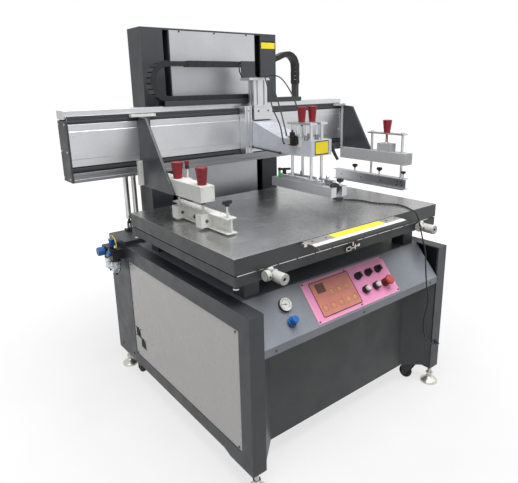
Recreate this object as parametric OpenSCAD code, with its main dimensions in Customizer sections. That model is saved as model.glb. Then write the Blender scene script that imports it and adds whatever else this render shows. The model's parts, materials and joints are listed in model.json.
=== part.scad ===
// Flatbed screen printer with a fixed vacuum table, a rising beam and a travelling print head.
// X runs to the operator's right, Y away from the operator and Z up from the floor.
// Every module works in machine coordinates: X = 0 is the middle of the frame, Y = 0 its front face,
// and the floor lies at the level given by ground.

/* [Frame] */
// Width over the two side frames
frame_w = 1100; // [1080:10:1120]
// Depth of the side frames
frame_d = 1138; // [1130:2:1160]
// Clear height under the frame
clear_h = 97; // [90:1:105]
// Height of a side frame
frame_h = 586; // [580:2:600]
// Thickness of a side frame
side_t = 60; // [50:2:64]

/* [Table] */
// Width of the vacuum table
table_w = 1100; // [1060:10:1120]
// Depth of the vacuum table
table_d = 786; // [780:2:800]
// Height of the table surface above the floor
table_h = 860; // [856:1:862]
// Thickness of the vacuum table
slab_t = 57; // [50:1:60]
// Largest alignment travel of the table each way
table_travel = 8; // [4:1:9]

/* [Column] */
// Width of the column
col_w = 767; // [740:1:770]
// Depth of the column
col_d = 131; // [125:1:150]
// Height of the column top above the floor
col_h = 1642; // [1632:5:1692]

/* [Beam] */
// Length of the beam without its end plates
beam_w = 1536; // [1500:4:1560]
// Height of the underside of the beam above the floor
beam_h = 1019; // [1017:1:1022]
// Stroke of the beam on the column
lift = 150; // [50:5:150]

/* [Print head] */
// Left face of the head arm
head_x = 93; // [60:1:120]
// Width of the head arm
head_w = 122; // [116:1:130]
// Travel of the head to the left
head_left = 190; // [50:5:190]
// Travel of the head to the right
head_right = 380; // [50:5:380]

/* [Hidden] */
$fn = 40;

// Clearance between pieces that move on each other
gap = 0.3;
// Radial clearance of a shaft that turns or slides in its own hole
fit = 0.05;

// Level of the floor in machine coordinates
ground = 28;

// Frame
base_z = clear_h + ground;
frame_x = frame_w / 2;
inner_x = frame_x - side_t;
side_top = base_z + frame_h;
rear_top = side_top + 21;
rear_y = 949;
heel_d = 136;
heel_h = 12;
panel_y0 = 61;
panel_y1 = 925;
panel_z0 = base_z + 54;
panel_z1 = base_z + 520;
recess_t = 6;
vent_spots = [[884, 303], [836, 262]];
vent_r = 26;
sheet = 3;

// Console, from the lip in front to the deck behind it
lip_z0 = 546;
lip_z1 = 577;
deck_y = 118;
slope = atan2(side_top - lip_z1, deck_y);
knee_y = 97;
splay = 99;

// Table
table_z = table_h + ground;
table_y = 68;
table_x = table_w / 2;
slab_z = table_z - slab_t;
sub_z0 = 792;
sub_z1 = slab_z - 4.3;
knob_z = 802;
knob_xs = [-400, 445];
side_knob_y = 420;
support_xs = [-440, 440];
support_ys = [160, 800];
screw_r = 6;

// Column
col_top = col_h + ground;
col_x = col_w / 2;
col_y = 975;
cover_x = 242;
slot_x0 = 275;
slot_x1 = 280;
wall = 8;

// Beam
beam_z = beam_h + ground;
beam_x = beam_w / 2;
beam_y0 = 856;
beam_y1 = 961;
face_z0 = beam_z + 64;
face_z1 = beam_z + 231;
groove_y = beam_y0 + 10;
cap_z = beam_z + 283;
end_t = 8;
mount_y0 = 838;
mount_y1 = beam_y0 - 0.5;
damper_xs = [-450, -410];
damper_y = 1118;

// Arms
tube_s = 60;
tube_z = 999;
tube_y0 = 388;
left_x = -468;
right_x = 752;
rail_w = 44;
rail_h = 59;
rail_t = 4;
left_rail_x = -430;
left_rail_z = table_z + 6;
left_rail_y = 281;
right_rail_x = 760;
right_rail_z = 866;
right_rail_y = 398;
left_rail_l = 402;
right_rail_l = 500;
stem_ys = [425, 610];
stem_x = -438;
post_ys = [431, 631];
post_r = 7;
bridge_z = 1150;

// Head
head_y0 = 394;
head_y1 = 838;
head_z0 = beam_z + 66;
head_z1 = 1179;
head_back_z = 1252;
bar_posts = [404, 525];
bar_xs = [101.5, 164];
bar_post_r = 6.5;
bar_z = 950;
bar_h = 42;
bar_y0 = 272;
bar_y1 = 664;
bar_plate_z = 1246;
knob_mid_y = 464.5;
mast_z = 1437;

// Cable chains
link_h = 26;
link_w = 50;
chain_y = 900;
chain_low_z = 1348;
chain_r = 89;
chain_x = -309;
chain_end_x = 95;
chain_join_x = -206;
arch_x = 488;
arch_z = 1513;
arch_r = 78;
arch_y = 1010;
arch_w = 46;
leg_z = 1345;

// Place of the origin in machine coordinates: the middle of the whole machine's footprint
plate_y0 = -20;
mid_x = (right_x + tube_s - beam_x - end_t) / 2;
mid_y = (frame_d + plate_y0) / 2;
plate_x0 = -262;
plate_x1 = 242;

// Route of the foot switch cord, from the gland on the right leg up and over the table to its plug
cord_r = 3;
cord_route = [
    [520, -2, 244], [520, -14, 244], [514, -20, 245], [498, -20, 250], [478, -18, 256], [452, -16, 266],
    [424, -16, 292], [404, -16, 324], [392, -16, 356], [386, -16, 391], [389, -16, 420], [398, -16, 450],
    [408, -16, 476], [409, -16, 502], [402, -16, 530], [394, -14, 560], [390, -12, 590], [388, -8, 628],
    [392, -2, 664], [398, 6, 700], [398, 12, 730], [392, 20, 765], [384, 26, 803], [374, 32, 845],
    [366, 38, 874], [364, 52, 889], [370, 72, 891.4], [394, 118, 891.4], [402, 168, 891.4],
    [376, 212, 891.4], [352, 262, 891.4], [350, 306, 891.4], [336, 352, 891.4], [300, 392, 891.4]
];
plug_r = 8;

// Filter bowls
bowl_ys = [988, 1062];

// Air hoses on the print head, from the mast down to the arm
hose_r = 3;
hose_routes = [
    [[186, 806, 1455], [196, 780, 1460], [196, 720, 1448], [188, 660, 1410], [178, 600, 1350], [170, 560, 1290],
     [166, 542, 1262]],
    [[172, 806, 1455], [168, 770, 1452], [140, 700, 1400], [110, 620, 1310], [86, 560, 1230], [80, 540, 1192]],
    [[158, 806, 1455], [150, 776, 1448], [124, 720, 1390], [100, 660, 1310], [84, 590, 1236], [78, 562, 1164],
     [78, 552, 1160]]
];

// Moves machine coordinates to the part's own frame
module place() {
    translate([-mid_x, -mid_y, -ground]) children();
}

// A block between two opposite corners
module span(a, b) {
    translate(a) cube(b - a);
}

// An outline in Y and Z, carried along X
module across(x, t, points) {
    translate([x, 0, 0]) rotate([90, 0, 90]) linear_extrude(t) polygon(points);
}

// Round bars along each axis, from a point
module rod_x(p, r, h) {
    translate(p) rotate([0, 90, 0]) cylinder(r = r, h = h);
}

module rod_y(p, r, h) {
    translate(p) rotate([-90, 0, 0]) cylinder(r = r, h = h);
}

module rod_z(p, r, h) {
    translate(p) cylinder(r = r, h = h);
}

// A point on the sloping console: x across it, s up the slope
module on_console(x, s) {
    translate([x, s * cos(slope), lip_z1 + s * sin(slope)]) rotate([slope, 0, 0]) children();
}

// Unit vector
function unit(v) = v / norm(v);

// One point of the smooth curve through four route points
function blend4(a, b, c, d, t) =
    0.5 * (2 * b + (c - a) * t + (2 * a - 5 * b + 4 * c - d) * t * t + (3 * b - a - 3 * c + d) * t * t * t);

// A route made smooth, with a number of steps for each stretch
function smooth(p, steps) = [
    for (i = [0 : len(p) - 2])
        for (k = [0 : steps - 1])
            blend4(p[max(i - 1, 0)], p[i], p[i + 1], p[min(i + 2, len(p) - 1)], k / steps),
    p[len(p) - 1]
];

// Directions along a path
function directions(p) = [
    for (i = [0 : len(p) - 1]) unit(p[min(i + 1, len(p) - 1)] - p[max(i - 1, 0)])
];

// Side vectors along a path that never twist about it
function sides(t) = [
    for (i = 0, s = unit(cross(t[0], [0.3, 0.2, 1])); i < len(t);
         i = i + 1, s = i < len(t) ? unit(s - t[i] * (s * t[i])) : s) s
];

// A round tube swept along a route
module tube(route, r, steps, n) {
    p = smooth(route, steps);
    t = directions(p);
    s = sides(t);
    points = [
        for (i = [0 : len(p) - 1])
            for (k = [0 : n - 1])
                p[i] + r * (cos(360 * k / n) * s[i] + sin(360 * k / n) * cross(t[i], s[i]))
    ];
    last = (len(p) - 1) * n;
    faces = concat(
        [[for (k = [0 : n - 1]) k]],
        [[for (k = [n - 1 : -1 : 0]) last + k]],
        [for (i = [0 : len(p) - 2]) for (k = [0 : n - 1])
            [i * n + k, (i + 1) * n + k, (i + 1) * n + (k + 1) % n, i * n + (k + 1) % n]]
    );
    polyhedron(points, faces, convexity = 6);
}

// Frame

module side_frames() {
    color("#4a4d52") place()
        for (s = [-1, 1])
            difference() {
                across(s < 0 ? -frame_x : inner_x, side_t, [
                    [0, base_z - heel_h], [heel_d, base_z - heel_h], [heel_d + 40, base_z], [frame_d, base_z],
                    [frame_d, rear_top], [rear_y, rear_top], [rear_y, side_top], [0, side_top]
                ]);
                side_recess(s);
                side_pocket(s);
                vents(s);
                if (s > 0) rod_y([520, -1, 244], 8 + fit, 40);
            }
}

// Shallow recess in the outer face that takes the side panel
module side_recess(s) {
    x = s * (frame_x - recess_t / 2);
    span([x - recess_t / 2 - 0.01, panel_y0, panel_z0], [x + recess_t / 2 + 0.01, panel_y1, panel_z1]);
}

// Hollow on the inner side
module side_pocket(s) {
    deep = side_t - recess_t - 4;
    x = s * (inner_x + deep / 2);
    for (y = [[8, 470], [478, rear_y - 4], [rear_y + 4, frame_d - 8]])
        span([x - deep / 2 - 0.01, y[0], base_z + 6], [x + deep / 2, y[1], side_top - 6]);
}

// Two round vents at the rear of a side
module vents(s) {
    for (v = vent_spots) rod_x([s > 0 ? frame_x - 20 : -frame_x - 1, v[0], v[1]], vent_r, 21);
}

module side_panels() {
    t = 4;
    color("#a9aaa6") place()
        for (s = [-1, 1]) {
            x = s * (frame_x - recess_t + t / 2);
            difference() {
                span([x - t / 2, panel_y0 + 1, panel_z0 + 1], [x + t / 2, panel_y1 - 1, panel_z1 - 1]);
                vents(s);
            }
            for (v = vent_spots) guard(x - s * 1, v);
        }
}

// Wire guard across a vent: a bar each way and a ring
module guard(x, v) {
    span([x - 1, v[0] - vent_r - 1, v[1] - 1.5], [x + 1, v[0] + vent_r + 1, v[1] + 1.5]);
    span([x - 1, v[0] - 1.5, v[1] - vent_r - 1], [x + 1, v[0] + 1.5, v[1] + vent_r + 1]);
    translate([x - 1, v[0], v[1]]) rotate([0, 90, 0]) ring(16, 13.5, 0, 2);
}

module rear_base() {
    color("#4a4d52") place()
        difference() {
            span([-inner_x, rear_y, base_z], [inner_x, frame_d, rear_top]);
            span([-inner_x + 5, rear_y + 5, base_z - 1], [inner_x - 5, frame_d - 5, rear_top - 6]);
            for (x = [-360, 180]) for (k = [0 : 7])
                span([x, frame_d - 9, 260 + 22 * k], [x + 180, frame_d + 1, 268 + 22 * k]);
        }
}

module floor_pan() {
    color("#3f4246") place() {
        span([-inner_x, knee_y, base_z], [inner_x, rear_y, base_z + 5]);
        for (y = [130, 1000 - 100]) span([-inner_x, y - 25, base_z + 5], [inner_x, y + 25, base_z + 35]);
    }
}

module console() {
    color("#7d828b") place()
        across(-inner_x, 2 * inner_x, [
            [0, lip_z0], [0, lip_z1], [deck_y, side_top], [rear_y, side_top], [rear_y, side_top - sheet],
            [deck_y + sheet / 2, side_top - sheet], [sheet, lip_z1 - sheet / 2], [sheet, lip_z0 + sheet],
            [knee_y, lip_z0 + sheet], [knee_y, lip_z0]
        ]);
}

module front_panels() {
    front_x = inner_x - splay;
    color("#55585d") place()
        translate([0, 0, base_z + 5]) linear_extrude(lip_z0 - base_z - 5)
            polygon([
                [-inner_x, 6], [-front_x, knee_y], [front_x, knee_y], [inner_x, 6], [inner_x, 10],
                [front_x + 1, knee_y + sheet], [-front_x - 1, knee_y + sheet], [-inner_x, 10]
            ]);
}

foot_xs = [-frame_x + side_t / 2, frame_x - side_t / 2];
foot_ys = [20, frame_d - 40];
foot_r = 40;
caster_xs = [463, 506];
caster_ys = [94, 965];
wheel_r = 31;
wheel_w = 26;
wheel_z = ground + 34;
trail = 18;

module feet_and_forks() {
    color("#26282b") place() {
        for (x = foot_xs) for (y = foot_ys) {
            top = y < heel_d ? base_z - heel_h : base_z;
            translate([x, y, ground]) rotate_extrude()
                polygon([
                    [0, 0], [foot_r - 2, 0], [foot_r, 2], [foot_r, 9], [foot_r - 5, 16], [26, 24], [16, 27],
                    [16, 36], [0, 36]
                ]);
            rod_z([x, y, ground + 36], 8, top - ground - 36);
            translate([x, y, ground + 42]) cylinder(r = 14, h = 10, $fn = 6);
        }
        for (k = [0, 1]) for (s = [-1, 1]) caster_fork(s * caster_xs[k], caster_ys[k]);
    }
}

// Caster fork with its plate, swivel head, two cheeks and axle
module caster_fork(x, y) {
    base = base_z;
    span([x - 25, y - 28, base - 4], [x + 25, y + 28, base]);
    rod_z([x, y, base - 18], 20, 14);
    span([x - 18, y - 20, base - 23], [x + 18, y + trail + 8, base - 18]);
    for (s = [-1, 1])
        across(x + (s < 0 ? -18 : 15), 3, [
            [y - 20, base - 23], [y + trail + 8, base - 23], [y + trail + 8, wheel_z - 8],
            [y + trail - 8, wheel_z - 8]
        ]);
    rod_x([x - 15, y + trail, wheel_z], 4, 30);
}

module caster_wheel(x, y) {
    color("#1b1c1e") place()
        translate([x - wheel_w / 2, y + trail, wheel_z]) rotate([0, 90, 0]) rotate_extrude()
            polygon([
                [4 + fit, 0], [12, 0], [12, 4], [20, 4], [20, 0], [wheel_r - 4, 0], [wheel_r, 4],
                [wheel_r, wheel_w - 4], [wheel_r - 4, wheel_w], [20, wheel_w], [20, wheel_w - 4],
                [12, wheel_w - 4], [12, wheel_w], [4 + fit, wheel_w]
            ]);
}

// Controls on the console

plate_s0 = 7;
plate_s1 = 171;
selector_xs = [46, 107, 168];
selector_s = 123;
button_xs = [50, 112];
button_s = 62;
stop_x = 168;
stop_s = 61;
gauge_x = -339;
gauge_s = 117;
regulator_x = -343;
regulator_s = 54;

module control_plate() {
    color("#ff8cba") place()
        on_console(0, 0) span([-236, plate_s0, 0], [228, plate_s1, 2]);
}

module keypad() {
    color("#e9895f") place()
        on_console(0, 0) {
            span([-200, 24, 2], [7, 158, 3.2]);
            for (k = [0 : 3]) span([-118 + 28 * k, 96, 3.2], [-98 + 28 * k, 112, 3.8]);
            for (k = [0 : 4]) span([-146 + 28 * k, 44, 3.2], [-126 + 28 * k, 60, 3.8]);
        }
}

module panel_fittings() {
    color("#202225") place() {
        for (x = selector_xs) on_console(x, selector_s) ring(15, 8 + fit, 2, 14);
        for (x = button_xs) on_console(x, button_s) ring(15, 11 + fit, 2, 22);
        on_console(stop_x, stop_s) ring(16, 9 + fit, 2, 21);
        on_console(regulator_x, regulator_s) ring(13, 7 + fit, 0, 6);
        on_console(gauge_x, gauge_s) rotate_extrude()
            polygon([[0, 0], [24, 0], [26, 2], [26, 12], [24, 14], [22, 14], [22, 11], [0, 11]]);
    }
}

// A plain collar from height z0 to z1
module ring(outer, inner, z0, z1) {
    translate([0, 0, z0]) difference() {
        cylinder(r = outer, h = z1 - z0);
        translate([0, 0, -1]) cylinder(r = inner, h = z1 - z0 + 2);
    }
}

module selector(x) {
    color("#17181a") place()
        on_console(x, selector_s) {
            translate([0, 0, 2 + gap]) cylinder(r = 8, h = 12);
            translate([0, 0, 14 + gap]) cylinder(r = 12, h = 5);
            span([-3.5, -11, 19 + gap], [3.5, 11, 32]);
        }
}

module push_button(x, tone) {
    color(tone) place()
        on_console(x, button_s) {
            translate([0, 0, 6 + gap]) cylinder(r = 11, h = 24);
        }
}

module stop_button() {
    color("#c02434") place()
        on_console(stop_x, stop_s) {
            translate([0, 0, 8 + gap]) cylinder(r = 9, h = 22);
            translate([0, 0, 30]) rotate_extrude()
                polygon([[0, 0], [17, 0], [20, 3], [20, 9], [17, 13], [8, 15], [0, 15]]);
        }
}

module regulator_knob() {
    color("#2a6fc4") place()
        on_console(regulator_x, regulator_s) {
            translate([0, 0, gap]) cylinder(r = 7, h = 8);
            translate([0, 0, 6 + gap]) rotate_extrude()
                polygon([[0, 0], [15, 0], [16, 2], [16, 26], [14, 32], [0, 33]]);
        }
}

// Table

module table_frame() {
    color("#3a3d42") place() {
        difference() {
            span([-table_x + 2, table_y + 2, sub_z0], [table_x - 2, table_y + table_d - 2, sub_z1]);
            span([-table_x + 12, table_y + 12, sub_z0 - 1], [table_x - 12, table_y + table_d - 12, sub_z1 - 8]);
            for (x = knob_xs) rod_y([x, table_y, knob_z], screw_r + fit, 14);
            rod_x([table_x - 14, side_knob_y, knob_z], screw_r + fit, 14);
        }
        for (x = support_xs) for (y = support_ys)
            span([x - 32, y - 32, side_top], [x + 32, y + 32, sub_z1 - 8]);
        for (x = [-table_x + 16, table_x - 16]) for (y = [table_y + 18, table_y + table_d - 18])
            rod_z([x, y, sub_z0 - 14], 10, 14);
        for (x = knob_xs) {
            difference() {
                span([x - 24, 56, knob_z - 12], [x + 18, table_y + 2, knob_z + 14]);
                rod_y([x, 40, knob_z], screw_r + fit, 40);
            }
            rod_x([x - 44, 52, knob_z + 8], 18, 20);
            rod_x([x - 20, 63, knob_z + 20], 8, 20);
        }
        difference() {
            span([table_x - 2, side_knob_y - 18, knob_z - 12], [table_x + 12, side_knob_y + 24, knob_z + 14]);
            rod_x([table_x - 10, side_knob_y, knob_z], screw_r + fit, 40);
        }
        rod_y([table_x + 16, side_knob_y + 24, knob_z + 8], 18, 20);
    }
}

module table_slide() {
    color("#8a8d90") place()
        for (x = [-440, 440]) for (y = [160, 760])
            span([x - 60, y - 60, sub_z1 + gap], [x + 60, y + 60, slab_z - gap]);
}

module table_top() {
    color("#a7abae") place() {
        difference() {
            span([-table_x, table_y, slab_z], [table_x, table_y + table_d, table_z - 2]);
            span([-table_x + 8, table_y + 8, slab_z - 1], [table_x - 8, table_y + table_d - 8, table_z - 6]);
        }
        span([-table_x, table_y, table_z - 2], [table_x, table_y + table_d, table_z]);
        for (x = [-440, 440]) for (y = [160, 760])
            span([x - 50, y - 50, slab_z], [x + 50, y + 50, table_z - 6]);
    }
}

module register_plate() {
    color("#c9cccf") place() {
        across(plate_x0, plate_x1 - plate_x0, [
            [table_y, table_z - 2], [22, table_z - 2], [plate_y0 + 3, table_z - 8], [plate_y0, table_z - 11],
            [plate_y0, table_z - 14], [plate_y0 + 3, table_z - 14], [plate_y0 + 5, table_z - 11],
            [22, table_z - 6], [table_y, table_z - 6]
        ]);
        span([plate_x0 - 12, 44, table_z - 16], [plate_x0 + 2, 60, table_z - 4]);
        for (x = [-200, -10, 180])
            across(x, 6, [[0, table_z - 8], [22, table_z - 5], [table_y, table_z - 5], [table_y, table_z - 40]]);
    }
}

// Smooth hand knob with a socket in its end, drawn along its own axis
module hand_knob(r, h) {
    difference() {
        rotate_extrude() polygon([[0, 0], [r - 3, 0], [r - 1.5, 4], [r, h - 2], [r - 1.5, h], [0, h]]);
        translate([0, 0, h - 6]) cylinder(r = 6, h = 7, $fn = 6);
    }
}

module table_knob(x) {
    color("#e3e3de") place() {
        translate([x, 54, knob_z]) rotate([90, 0, 0]) hand_knob(20, 54);
        rod_y([x, 54, knob_z], screw_r, 24);
    }
}

module table_knob_side() {
    color("#e3e3de") place() {
        translate([table_x + 14, side_knob_y, knob_z]) rotate([0, 90, 0]) hand_knob(20, 54);
        rod_x([table_x - 8, side_knob_y, knob_z], screw_r, 24);
    }
}

// Column

module column() {
    color("#45484e") place() {
        difference() {
            translate([0, 0, rear_top]) linear_extrude(col_top - rear_top - wall)
                difference() {
                    translate([-col_x, col_y]) square([col_w, col_d]);
                    translate([-col_x + wall, col_y + wall]) square([col_w - 2 * wall, col_d - 2 * wall]);
                    translate([-slot_x0, col_y - 1]) square([slot_x0 + slot_x1, wall + 2]);
                }
            span([col_x - wall - 1, arch_y - 30, arch_z + 2], [col_x + 1, arch_y + 30, arch_z + 130]);
        }
        span([-col_x, col_y, col_top - wall], [col_x, col_y + col_d, col_top]);
        for (s = [-1, 1])
            span([s * cover_x - 4, col_y + 4, rear_top], [s * cover_x + 4, col_y + col_d - wall, col_top - wall]);
        for (s = [-1, 1])
            span([s * 310 - 11, col_y + wall, rear_top], [s * 310 + 11, col_y + 40 - gap, col_top - wall]);
    }
}

module column_covers() {
    color("#b9bcc0") place()
        span([-cover_x, col_y, rear_top + 4], [cover_x, col_y + 4, col_top - wall]);
}

module damper_barrels() {
    color("#9a9da0") place() {
        span([-472, damper_y - 18, rear_top], [-392, damper_y + 18, rear_top + 8]);
        for (x = damper_xs) {
            span([x - 8, damper_y - 12, rear_top + 8], [x + 8, damper_y + 12, rear_top + 60]);
            difference() {
                rod_z([x, damper_y, rear_top + 60], 13, 215);
                rod_z([x, damper_y, rear_top + 70], 9.5 + fit, 220);
            }
        }
    }
}

module damper_rods() {
    color("#c3c6c8") place()
        for (x = damper_xs) rod_z([x, damper_y, rear_top + 100], 9.5, beam_z - rear_top - 100);
}

// Beam

module beam() {
    color("#bfc3c7") place()
        difference() {
            across(-beam_x, beam_w, beam_profile());
            span([-beam_x - 1, groove_y + 6, beam_z + 44], [beam_x + 1, beam_y1 - 6, cap_z - 27]);
        }
}

// Outline of the beam: a box with a stepped front face, dark grooves and a lower guide lip
function beam_profile() = [
    [beam_y1, beam_z], [beam_y1, cap_z - 21], [groove_y, cap_z - 21], [groove_y, face_z1],
    [beam_y0 + 2, face_z1], [beam_y0 + 2, face_z1 - 28], [beam_y0, face_z1 - 28], [beam_y0, face_z0 + 30],
    [beam_y0 + 2, face_z0 + 30], [beam_y0 + 2, face_z0], [groove_y, face_z0], [groove_y, beam_z + 38],
    [beam_y0, beam_z + 38], [beam_y0, beam_z + 27], [beam_y0 + 5, beam_z + 27], [beam_y0 + 5, beam_z + 12],
    [beam_y0, beam_z + 12], [beam_y0, beam_z]
];

module beam_rails() {
    color("#c9cccd") place() {
        span([-beam_x - 8, beam_y0 + 24, cap_z - 21], [beam_x + 22, beam_y1, cap_z]);
        span([-beam_x - 8, beam_y0 + 24, cap_z - 34], [-beam_x, beam_y1, cap_z - 21]);
        span([damper_xs[0] - 25, beam_y1, beam_z], [damper_xs[1] + 20, damper_y + 18, beam_z + 14]);
        for (s = [-1, 1]) {
            span([s * 259 - 11, beam_y1, beam_z + 60], [s * 259 + 11, col_y + 40, beam_z + 200]);
            span([s * 288 - 40, col_y + 40, beam_z + 60], [s * 288 + 40, col_y + 70, beam_z + 200]);
        }
    }
}

module beam_ends() {
    color("#2e3034") place() {
        for (s = [-1, 1])
            span([s * (beam_x + end_t / 2) - end_t / 2, beam_y0, beam_z],
                 [s * (beam_x + end_t / 2) + end_t / 2, beam_y1, face_z1 + 14]);
        span([-beam_x, groove_y - 6, face_z1 + 4], [beam_x, groove_y, face_z1 + 14]);
        span([-beam_x, groove_y - 6, face_z0 - 18], [beam_x, groove_y, face_z0 - 6]);
        difference() {
            span([chain_x - 30, chain_y - 32, cap_z], [470, chain_y + 32, cap_z + 22]);
            span([chain_x - 31, chain_y - 29, cap_z + 3], [471, chain_y + 29, cap_z + 23]);
        }
        span([400, beam_y1, cap_z - 6], [580, arch_y + 32, cap_z]);
        difference() {
            span([arch_x + arch_r - link_h - 8, arch_y - 30, cap_z], [arch_x + arch_r + 8, arch_y + 30, leg_z]);
            span([arch_x + arch_r - link_h - 4, arch_y - 26, leg_z - 4], [arch_x + arch_r + 4, arch_y + 26, leg_z + 1]);
        }
        chain_leg();
    }
}

// Straight end of the upright cable chain that stands on the beam
module chain_leg() {
    x1 = arch_x + arch_r;
    span([x1 - link_h + 3, arch_y - arch_w / 2 + 3, leg_z - 4], [x1 - 3, arch_y + arch_w / 2 - 3, arch_z - 80]);
}

module chain_arch() {
    x1 = arch_x + arch_r;
    color("#1d1e20") place()
        difference() {
            translate([0, arch_y + arch_w / 2, 0]) rotate([90, 0, 0]) linear_extrude(arch_w)
                polygon(concat([arch_point(arch_r, 0, -95)], arch_arc(arch_r), reverse(arch_arc(arch_r - link_h)),
                               [arch_point(arch_r - link_h, 0, -95)]));
            span([x1 - link_h + 2.7, arch_y - arch_w / 2 + 2.7, arch_z - 96],
                 [x1 - 2.7, arch_y + arch_w / 2 - 2.7, arch_z - 4]);
        }
}

// A point of the arch: radius, angle and distance on along the straight from there
arch_turn = 110;
function arch_point(r, a, on) =
    [arch_x + r * cos(a) - on * sin(a), arch_z + r * sin(a) + on * cos(a)];

function arch_arc(r) = [for (k = [0 : 22]) arch_point(r, k * arch_turn / 22, 0), arch_point(r, arch_turn, 105)];

function reverse(v) = [for (i = [len(v) - 1 : -1 : 0]) v[i]];

// Cable chain bend with its lower run and the inner part of its upper run
module chain_bend() {
    top = chain_low_z + 2 * chain_r;
    color("#1d1e20") place() {
        translate([chain_x, chain_y + link_w / 2, chain_low_z + chain_r]) rotate([90, 0, 0])
            rotate([0, 0, 90]) rotate_extrude(angle = 180, $fn = 72)
                translate([chain_r - link_h, 0]) square([link_h, link_w]);
        span([chain_x, chain_y - link_w / 2, chain_low_z], [150, chain_y + link_w / 2, chain_low_z + link_h]);
        span([chain_x, chain_y - link_w / 2 + 3, top - link_h + 3], [-6, chain_y + link_w / 2 - 3, top - 3]);
    }
}

// Outer part of the upper run with the bracket that fixes it to the mast
module chain_upper() {
    top = chain_low_z + 2 * chain_r;
    color("#1d1e20") place() {
        translate([0, 872, 0]) rotate([90, 0, 0]) linear_extrude(5)
            polygon([
                [72, mast_z + 12], [182, mast_z + 12], [chain_end_x + 52, 1530], [chain_end_x, 1530],
                [chain_end_x, 1500]
            ]);
        span([chain_end_x, 867, 1500], [chain_end_x + 6, chain_y + link_w / 2, 1526]);
        difference() {
            span([chain_join_x, chain_y - link_w / 2, top - link_h], [chain_end_x, chain_y + link_w / 2, top]);
            span([chain_join_x - 1, chain_y - link_w / 2 + 2.7, top - link_h + 2.7],
                 [chain_end_x - 4, chain_y + link_w / 2 - 2.7, top - 2.7]);
        }
    }
}

// Arms

// Outline of a gusset plate, in Y and Z
function gusset_outline(foot_z, nose_y) = [
    [mount_y0, foot_z], [nose_y, foot_z], [nose_y, foot_z + 4], [782, cap_z - 40], [mount_y0, cap_z - 36]
];

module left_gusset() {
    color("#4b4e54") place() {
        across(left_x - 12, 12, gusset_outline(tube_z, 580));
        span([left_x - 12, mount_y0, beam_z - 40], [left_x + 38, mount_y1, cap_z - 36]);
    }
}

module right_gusset() {
    x = right_x + 28;
    color("#4b4e54") place() {
        across(x, 12, gusset_outline(tube_z + tube_s, 642));
        span([x, mount_y0, beam_z - 40], [x + 12, mount_y1, cap_z - 36]);
        span([x - 18, mount_y0, beam_z - 40], [x, mount_y1, cap_z - 36]);
        span([x - 66, mount_y0 + 4, cap_z - 36], [x + 12, groove_y - 0.5, cap_z - 25]);
    }
}

// Square arm tube with a closed front end
module arm_tube(x) {
    difference() {
        span([x, tube_y0, tube_z], [x + tube_s, mount_y0, tube_z + tube_s]);
        span([x + 4, tube_y0 + 4, tube_z + 4], [x + tube_s - 4, mount_y0 + 1, tube_z + tube_s - 4]);
        children();
    }
}

module left_arm_tube() {
    color("#e2e2de") place() {
        arm_tube(left_x)
            for (y = stem_ys) rod_z([stem_x, y, tube_z - 1], 5 + fit, tube_s + 2);
        span([left_x - 44, mount_y0 + 4, cap_z - 36], [left_x + 68, groove_y - 0.5, cap_z - 25]);
        span([left_x - 32, mount_y0, beam_z - 43], [left_x - 12, mount_y1, beam_z + 63]);
    }
}

// Clamp rail: an I section along Y
module clamp_rail(x, y, z, l) {
    span([x, y, z], [x + rail_w, y + l, z + rail_t]);
    span([x, y, z + rail_h - rail_t], [x + rail_w, y + l, z + rail_h]);
    span([x + rail_w / 2 - 2.5, y, z + rail_t], [x + rail_w / 2 + 2.5, y + l, z + rail_h - rail_t]);
}

module left_clamp_rail() {
    color("#cfd1d0") place() {
        difference() {
            clamp_rail(left_rail_x, left_rail_y, left_rail_z, left_rail_l);
            rod_z([left_rail_x + 17 - 3, left_rail_y + 15, left_rail_z + rail_h - 10], 4 + fit, 20);
        }
        for (y = stem_ys) {
            difference() {
                span([left_rail_x - 32, y - 21, left_rail_z + rail_t],
                     [left_rail_x + rail_w / 2 - 2.5, y + 21, left_rail_z + rail_h - rail_t]);
                rod_y([left_rail_x - 8, y - 30, left_rail_z + 28], 4, 20);
            }
            rod_z([stem_x, y, left_rail_z + rail_h - rail_t], 5, 125);
            rod_y([left_rail_x - 22, y + 21, left_rail_z + 38], 4, 8);
            rod_y([left_rail_x - 22, y + 29, left_rail_z + 38], 9, 10);
        }
    }
}

// Tapered red hand knob, drawn upwards from a height, with a blind bore for its screw
module red_knob(x, y, z, bore) {
    translate([x, y, z]) rotate_extrude()
        polygon([
            [bore, 0], [9, 0], [9, 4], [16, 4], [17, 7], [17, 16], [19, 20], [24, 61], [23, 66], [0, 66],
            [0, 50], [bore, 50]
        ]);
}

module left_knob(y) {
    color("#a8202e") place() red_knob(stem_x, y, tube_z + tube_s + gap, 5 + fit);
}

// Tee screw that clamps the screen in the rail
module tee_screw(x, y, z, h) {
    rod_z([x, y, z], 4, h);
    rod_z([x, y, z + h], 9, 6);
    translate([x, y, z + h + 6]) span([-19, -6, 0], [19, 6, 12]);
}

module left_clamp_screw() {
    color("#1c1d1f") place()
        tee_screw(left_rail_x + 14, left_rail_y + 15, left_rail_z + rail_h - 9, 56);
}

module right_arm_tube() {
    color("#b7babc") place() {
        arm_tube(right_x)
            union() {
                for (y = post_ys) rod_z([right_x + 30, y, tube_z - 1], post_r + fit, tube_s + 2);
                rod_z([right_x + 30, 533, tube_z + tube_s - 20], 6.5 + fit, 22);
            }
        difference() {
            union() {
                span([right_x + 6, 491, tube_z + tube_s], [right_x + 54, 577, tube_z + tube_s + 43]);
                rod_z([right_x + 30, 533, tube_z + tube_s + 43], 12, 5);
            }
            rod_z([right_x + 30, 533, tube_z + tube_s - 1], 6.5 + fit, 60);
        }
    }
}

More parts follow.
